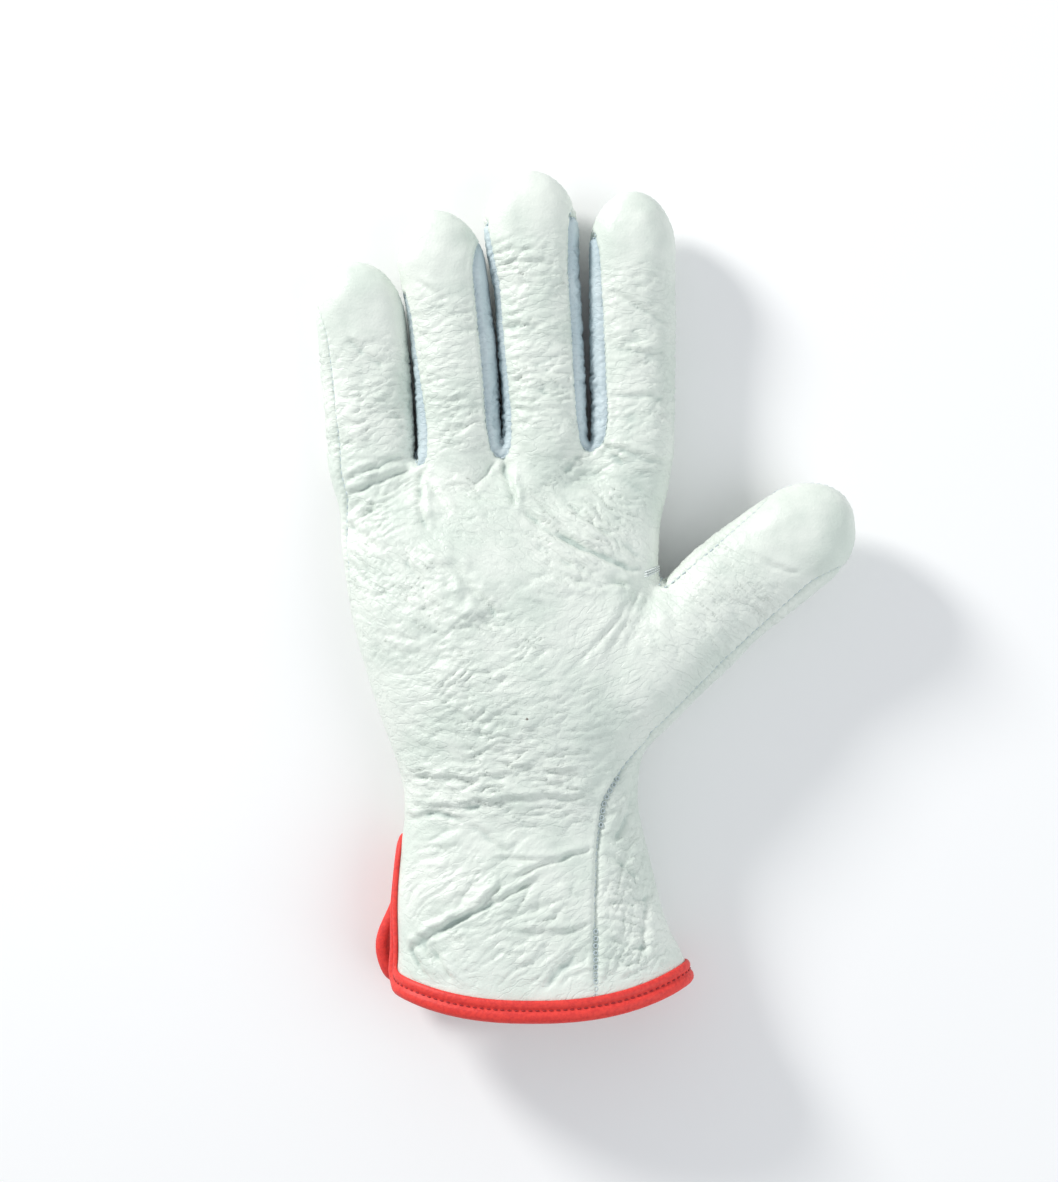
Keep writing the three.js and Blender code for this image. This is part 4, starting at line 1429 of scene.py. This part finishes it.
# %% Build a panel
def build_panel(name, table, faces, material):
    rim = open_edges(faces)
    outer = table[:, PLACE].copy()
    inner = outer - table[:, DEPTH : DEPTH + 1] * table[:, NORMAL]
    inner[:, 2] = np.maximum(inner[:, 2], np.minimum(outer[:, 2] + 0.6, 2.0))
    count = len(outer)
    walls = np.concatenate(
        [
            np.stack([rim[:, 1], rim[:, 0], rim[:, 0] + count], 1),
            np.stack([rim[:, 1], rim[:, 0] + count, rim[:, 1] + count], 1),
        ]
    )
    every = np.concatenate([faces, walls, faces[:, ::-1] + count])
    mesh = mesh_of(name, np.concatenate([outer, inner]), every)
    for label, column in (("relief", RELIEF), ("lean", LEAN), ("worn", WORN)):
        layer = mesh.attributes.new(label, "FLOAT", "POINT")
        layer.data.foreach_set("value", np.tile(table[:, column], 2).astype(np.float32))
    piece = add_object(name, mesh, material)
    if name in PANEL_FACES and len(every) > PANEL_FACES[name]:
        underneath = (table[:, NORMAL][:, 2] < -0.2) & (np.abs(table[:, PALM]) > 4)
        underneath &= np.abs(table[:, FORK : FORK + 3]).min(1) > 4
        underneath &= table[:, HEM] > 6
        thin_out(piece, np.concatenate([underneath, np.ones(count, bool)]), PANEL_FACES[name])
    print(f"{name}: {len(piece.data.polygons)} faces")
    return piece


for name, (points, faces) in parts.items():
    material = fork_leather_in_shade if name in fork_names else leather
    piece = build_panel(name, points, faces, material)
    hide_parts(name)
    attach(piece, "root")

# %% [markdown]
# ## The red binding
# A tape is folded over the raw edge and sewn through both legs, so it shows as two ridges with a groove for
# the stitches. It follows the edge round the hem and up and down the vent as one closed ring. It is swept
# as a profile along the edge rather than cut from the skin, because a tape bends round its path as one.

# %% The tape's profile
GROOVE_ACROSS = 2.6
# across: how far in from the edge, height: above the leather's outer face
TAPE_PROFILE = [
    (BINDING_WIDTH, 0.12),
    (BINDING_WIDTH + 0.15, 0.55),
    (BINDING_WIDTH - 0.1, 0.95),
    (BINDING_WIDTH - 0.7, 1.25),
    (3.9, 1.3),
    (3.3, 1.1),
    (2.95, 0.78),
    (GROOVE_ACROSS, 0.74),
    (2.25, 0.8),
    (1.9, 1.12),
    (1.2, 1.38),
    (0.3, 1.36),
    (-0.5, 1.1),
    (-1.1, 0.5),
    (-1.4, -0.3),
    (-1.4, -1.1),
    (-1.1, -1.9),
    (-0.5, -2.6),
    (0.4, -2.9),
    (2.6, -2.85),
    (4.8, -2.9),
    (5.3, -2.6),
    (5.3, -2.0),
    (4.8, -1.8),
    (2.6, -1.8),
    (0.4, -1.8),
    (-0.15, -1.5),
    (-0.3, -0.75),
    (-0.15, -0.1),
    (0.5, 0.12),
    (2.6, 0.12),
]
print(f"tape: {BINDING_WIDTH} mm wide, with {len(TAPE_PROFILE)} points round its profile")

# %% Sweep the tape
surface = BVHTree.FromPolygons(skin.tolist(), triangles.tolist())


def blur_ring(values, rounds):
    for _ in range(rounds):
        values = (np.roll(values, 1, 0) + 2 * values + np.roll(values, -1, 0)) / 4
    return values


def on_skin(points):
    """The nearest place on the skin and the skin's direction there."""
    hits = [surface.find_nearest(Vector(point)) for point in points.tolist()]
    return np.array([tuple(hit[0]) for hit in hits]), np.array([tuple(hit[1]) for hit in hits])


path_normal = unit(blur_ring(on_skin(hem_path)[1], 4))
path_tangent = unit(np.roll(hem_path, -1, 0) - np.roll(hem_path, 1, 0))
inward = unit(blur_ring(np.cross(path_normal, path_tangent), 3))
if np.median(hem_field(hem_path + 2 * inward) - hem_field(hem_path - 2 * inward)) < 0:
    inward = -inward
columns = []
for across, height in TAPE_PROFILE:
    if across > 0:
        base, direction = on_skin(hem_path + across * inward)
        direction = unit(blur_ring(direction, 4))
        column = base + height * direction
    else:
        column = hem_path + across * inward + height * path_normal
    columns.append(blur_ring(column, 2 + int(4 * max(across, 0))))
tape_points = np.stack(columns, 1)
print("tape spans", np.round(tape_points.min((0, 1)), 1), "to", np.round(tape_points.max((0, 1)), 1))


# %% Close the tape and add it
def ring_faces(rings, sides):
    """Faces of a closed ring of closed sections."""
    ring, side = np.meshgrid(np.arange(rings), np.arange(sides), indexing="ij")
    a = ring * sides + side
    b = ring * sides + (side + 1) % sides
    c = ((ring + 1) % rings) * sides + (side + 1) % sides
    d = ((ring + 1) % rings) * sides + side
    return np.stack([a, b, c, d], -1).reshape(-1, 4)


def volume_of(points, quads):
    """Below zero when the faces point inwards."""
    a, b, c, d = (points[quads[:, i]] for i in range(4))
    return float(np.sum(a * np.cross(b, c)) + np.sum(a * np.cross(c, d))) / 6


flat_tape = tape_points.reshape(-1, 3)
tape_faces = ring_faces(*tape_points.shape[:2])
if volume_of(flat_tape, tape_faces) < 0:
    tape_faces = tape_faces[:, ::-1]
tape_piece = add_object("hem_tape", mesh_of("hem_tape", flat_tape, tape_faces), tape)
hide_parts("hem_binding")
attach(tape_piece, "root")

# %% [markdown]
# ## Thread
# Every stitch is a short piece of thread that shows between two holes. Modelling them one by one would
# take hundreds of pieces, so Geometry Nodes copy one small bean to each place along a seam and turn it the
# way the seam runs. On the cuff's seam the machine left a few round loops, which are small rings.

# %% A node group that lays stitches along a path
def stitch_group(name, looped):
    """Nodes that put a bean or a ring at each point, turned along the point's own directions."""
    group = bpy.data.node_groups.new(name, "GeometryNodeTree")
    for label, kind in (
        ("Geometry", "NodeSocketGeometry"),
        ("Length", "NodeSocketFloat"),
        ("Thickness", "NodeSocketFloat"),
        ("Material", "NodeSocketMaterial"),
    ):
        group.interface.new_socket(label, in_out="INPUT", socket_type=kind)
    group.interface.new_socket("Geometry", in_out="OUTPUT", socket_type="NodeSocketGeometry")
    given = group.nodes.new("NodeGroupInput")
    points, length, thickness, material = (
        Value(group.nodes, given.outputs[label])
        for label in ("Geometry", "Length", "Thickness", "Material")
    )
    circle = "GeometryNodeCurvePrimitiveCircle"
    if looped:
        ring = length.make(circle, None, {"Resolution": 12, "Radius": length * 0.5})
        thread = length.make(circle, None, {"Resolution": 6, "Radius": thickness * 0.5})
        sides = {"Curve": ring, "Profile Curve": thread}
        shape = ring.make("GeometryNodeCurveToMesh", None, sides)
    else:
        sides = {"Segments": 8, "Rings": 6, "Radius": 0.5}
        ball = length.make("GeometryNodeMeshUVSphere", None, sides)
        sides = {"X": thickness, "Y": thickness, "Z": length}
        size = length.make("ShaderNodeCombineXYZ", None, sides)
        shape = ball.make("GeometryNodeTransform", None, {"Geometry": ball, "Scale": size})
    turn_inputs = {}
    for label, axis in (("up", "Z" if looped else "X"), ("along", "X" if looped else "Z")):
        vector = {"data_type": "FLOAT_VECTOR"}
        direction = length.make("GeometryNodeInputNamedAttribute", vector, {"Name": label})
        turn_inputs["Vector"] = direction
        turned = length.make("FunctionNodeAlignRotationToVector", {"axis": axis}, turn_inputs)
        turn_inputs = {"Rotation": turned}
    sides = {"Points": points, "Instance": shape, "Rotation": turned}
    copies = length.make("GeometryNodeInstanceOnPoints", None, sides)
    real = length.make("GeometryNodeRealizeInstances", None, {"Geometry": copies})
    painted = {"Geometry": real, "Material": material}
    painted = length.make("GeometryNodeSetMaterial", None, painted)
    end = group.nodes.new("NodeGroupOutput")
    group.links.new(painted.socket, end.inputs["Geometry"])
    print(f"{name}: a group of {len(group.nodes)} nodes")
    return group


beans = stitch_group("stitches", looped=False)
rings = stitch_group("thread loops", looped=True)


# %% Bake the stitches of one seam
def lay_stitches(name, group, places, along, up, length, thickness, material):
    """A finished mesh with one stitch at each place, in millimetres of the drawing."""
    mesh = bpy.data.meshes.new(name + "_points")
    mesh.from_pydata(to_metres(places).tolist(), [], [])
    for label, directions in (("along", along), ("up", up)):
        layer = mesh.attributes.new(label, "FLOAT_VECTOR", "POINT")
        layer.data.foreach_set("vector", directions.astype(np.float32).ravel())
    holder = bpy.data.objects.new(name + "_points", mesh)
    bpy.context.scene.collection.objects.link(holder)
    modifier = holder.modifiers.new("stitches", "NODES")
    modifier.node_group = group
    given = {"Length": length * MM, "Thickness": thickness * MM, "Material": material}
    for item in group.interface.items_tree:
        if item.in_out == "INPUT" and item.name in given:
            modifier[item.identifier] = given[item.name]
    graph = bpy.context.evaluated_depsgraph_get()
    made = bpy.data.meshes.new_from_object(holder.evaluated_get(graph), depsgraph=graph)
    bpy.data.objects.remove(holder)
    made.materials.clear()
    piece = add_object(name, made, material)
    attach(piece, "root")
    print(f"{name}: {len(places)} stitches, {len(made.polygons)} faces")
    return piece


# %% Stitches along the seams of the palm
def seam_frames(line, offset, field):
    """Every stitch's place on one side of a seam, with its directions along and up."""
    step = int(round(STITCH / 0.5 * 4)) / 4
    count = int((len(line) - 1) / step)
    at = (np.arange(count) + 0.5) * step
    index = np.arange(len(line))
    base = np.stack([np.interp(at, index, line[:, axis]) for axis in range(3)], 1)
    tangent = unit(np.gradient(line, axis=0))
    along = unit(np.stack([np.interp(at, index, tangent[:, axis]) for axis in range(3)], 1))
    _, up = on_skin(base)
    side = unit(np.cross(up, along))
    flip = np.where(field(base + 1.5 * side) < field(base - 1.5 * side), -1, 1)
    side = side * flip[:, None]
    offset = offset(base) if callable(offset) else np.full(count, offset)
    place = base + offset[:, None] * side
    place, up = on_skin(place)
    return place, along, up, offset


def seam_offset(places):
    """Deep in the seam, but out in the open along the thumb's upper edge."""
    s, u = thumb.locate(places)
    open_seam = (s > 42) & (u < 0) & (np.abs(u) < 20)
    return np.where(open_seam, 1.5, 0.35)


def lay_along(name, lines, offset, field, deep):
    """Beans along every line of a seam, on one side of it; gives back their places and directions."""
    found = []
    for line in lines:
        place, along, up, out = seam_frames(line, offset, field)
        height = seam_relief(out, 0 * out, deep) + STITCH_LIFT
        found.append((place + height[:, None] * up, along, up))
    places, along, up = (np.concatenate(part) for part in zip(*found))
    lay_stitches(name, beans, places, along, up, 1.5, 0.5, threads["seam thread in painted shade"])
    return places, along, up


def any_fork_field(points):
    return np.maximum.reduce([fork_field(i, points) for i in range(3)])


STITCH_LIFT = 0.16
seam = lay_along("seam_stitches", palm_lines, seam_offset, palm_field, PALM_SEAM_DEPTH)
lay_along("fork_stitches", fork_lines, 0.3, any_fork_field, FORK_SEAM_DEPTH)

# %% [markdown]
# At the two ends of the cuff's seam the machine changed its tension and left round loops beside the seam.
# At the root of the thumb it went over its own stitches three times, which makes a hard little knot. The
# loops are rings at the seam's own stitches, and the knot is three short rows of thicker beans.

# %% The loops on the cuff's seam
# low, high, along the cuff
LOOP_SPANS = [(56, 72), (6, 27)]
seam_places, seam_along, seam_up = seam
on_cuff = (seam_places[:, 0] > 22) & (seam_places[:, 0] < 34) & (seam_places[:, 2] > 20)
looped = np.zeros(len(seam_places), bool)
for low, high in LOOP_SPANS:
    looped |= on_cuff & (seam_places[:, 1] > low) & (seam_places[:, 1] < high)
loop_places = seam_places[looped] + 0.35 * seam_up[looped] + np.array([0.35, 0, 0])
loop_along, loop_up = seam_along[looped], seam_up[looped]
lay_stitches("cuff_loops", rings, loop_places, loop_along, loop_up, 1.3, 0.34, threads["seam thread in painted shade"])

# %% The knot at the root of the thumb
KNOT_START = np.array([42.8, 132.6])
KNOT_END = np.array([46.6, 134.2])
KNOT_ROWS = (-0.7, 0.0, 0.7)
share = np.linspace(0, 1, 7)[:, None]
knot_plan = np.concatenate([mix(KNOT_START, KNOT_END, share) + (0, row) for row in KNOT_ROWS])
knot_places, knot_up = [], []
for across, along in knot_plan.tolist():
    hit = fine_surface.ray_cast(Vector((across, along, PALM_DEPTH + 3)), Vector((0, 0, -1)))
    knot_places.append(tuple(hit[0]))
    knot_up.append(tuple(hit[1]))
knot_places, knot_up = np.array(knot_places), np.array(knot_up)
knot_along = np.tile(unit(np.append(KNOT_END - KNOT_START, 0.0)), (len(knot_places), 1))
knot_places += 0.2 * knot_up
lay_stitches(
    "thumb_knot", beans, knot_places, knot_along, knot_up, 1.2, 0.65, threads["knot thread"]
)

# %% [markdown]
# ## The tape's stitches
# One row of dark red thread lies at the bottom of the groove, where it pulls the tape's two legs together.
# The groove is a column of the tape's own points, so the row follows it without any fitting.


# %% Stitches in the tape's groove
TAPE_STITCH = 2.1
count = int(len(hem_path) * HEM_STEP / TAPE_STITCH)
at = np.arange(count) * len(hem_path) / count
groove_column = [across for across, _ in TAPE_PROFILE].index(GROOVE_ACROSS)
groove_line = tape_points[:, groove_column]


def along_ring(values):
    closed = np.concatenate([values, values[:1]])
    numbers = np.arange(len(closed))
    return np.stack([np.interp(at, numbers, closed[:, axis]) for axis in range(3)], 1)


groove = along_ring(groove_line)
groove_along = unit(along_ring(unit(np.gradient(groove_line, axis=0))))
groove_up = unit(along_ring(path_normal))
groove += 0.05 * groove_up
lay_stitches(
    "tape_stitches", beans, groove, groove_along, groove_up, 1.35, 0.55, threads["tape thread"]
)

# %% [markdown]
# ## Camera, light and ground
# The photograph looks straight down at the palm with a long lens, and the light comes from the upper left
# through something wide and soft. The ground is plain and nearly white.

# %% Camera
camera_data = bpy.data.cameras.new("camera")
camera_data.sensor_fit = "VERTICAL"
camera_data.sensor_height = 36
camera_data.lens = 110
camera_data.clip_end = 20
camera = bpy.data.objects.new("camera", camera_data)
camera.location = (-0.0172, 0.0009, 1.115)
bpy.context.scene.collection.objects.link(camera)
bpy.context.scene.camera = camera
print(f"the camera sees {math.degrees(camera_data.angle_y):.0f} degrees from top to bottom")

# %% The ground
ground = bpy.data.meshes.new("ground")
ground.from_pydata([(-2, -2, 0), (2, -2, 0), (2, 2, 0), (-2, 2, 0)], [], [(0, 1, 2, 3)])
floor_paper = bpy.data.materials.new("floor paper")
floor_paper.use_nodes = True
paper = floor_paper.node_tree.nodes["Principled BSDF"]
paper.inputs["Base Color"].default_value = (0.94, 0.94, 0.94, 1)
paper.inputs["Roughness"].default_value = 0.9
ground.materials.append(floor_paper)
ground_object = bpy.data.objects.new("ground", ground)
bpy.context.scene.collection.objects.link(ground_object)
ground_object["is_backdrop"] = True
print("ground:", ground_object.dimensions.x, "m across")


# %% Light
def area_light(name, place, size, power, colour):
    data = bpy.data.lights.new(name, "AREA")
    data.shape = "DISK"
    data.size = size
    data.energy = power
    data.color = colour
    light = bpy.data.objects.new(name, data)
    light.location = place
    light.rotation_euler = (-Vector(place)).to_track_quat("-Z", "Y").to_euler()
    bpy.context.scene.collection.objects.link(light)


area_light("key", (-0.95, 0.85, 0.62), 0.35, 16.5, (1.0, 0.99, 0.97))
area_light("fill", (0.9, -0.3, 0.9), 1.2, 5.5, (0.95, 0.98, 1.0))
world = bpy.data.worlds.new("studio")
world.use_nodes = True
background = world.node_tree.nodes["Background"]
background.inputs["Color"].default_value = (0.93, 0.96, 1.0, 1)
background.inputs["Strength"].default_value = 0.56
bpy.context.scene.world = world
# Plain colours keep the leather white, where a film look would turn it grey
bpy.context.scene.view_settings.view_transform = "Standard"

# %% [markdown]
# ## Sizes
# Dressing the solids must not change how big the glove is. So the box round the solids, kept from the start,
# is printed beside the box round the finished model.

# %% Sizes and finish
own_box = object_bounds()
sizes = {
    "cad": [list(corner) for corner in cad_box],
    "scene": [list(corner) for corner in own_box],
}
print("CAD box and own box in mm:")
for label, corners in sizes.items():
    print(label, [[round(1000 * value, 1) for value in corner] for corner in corners])
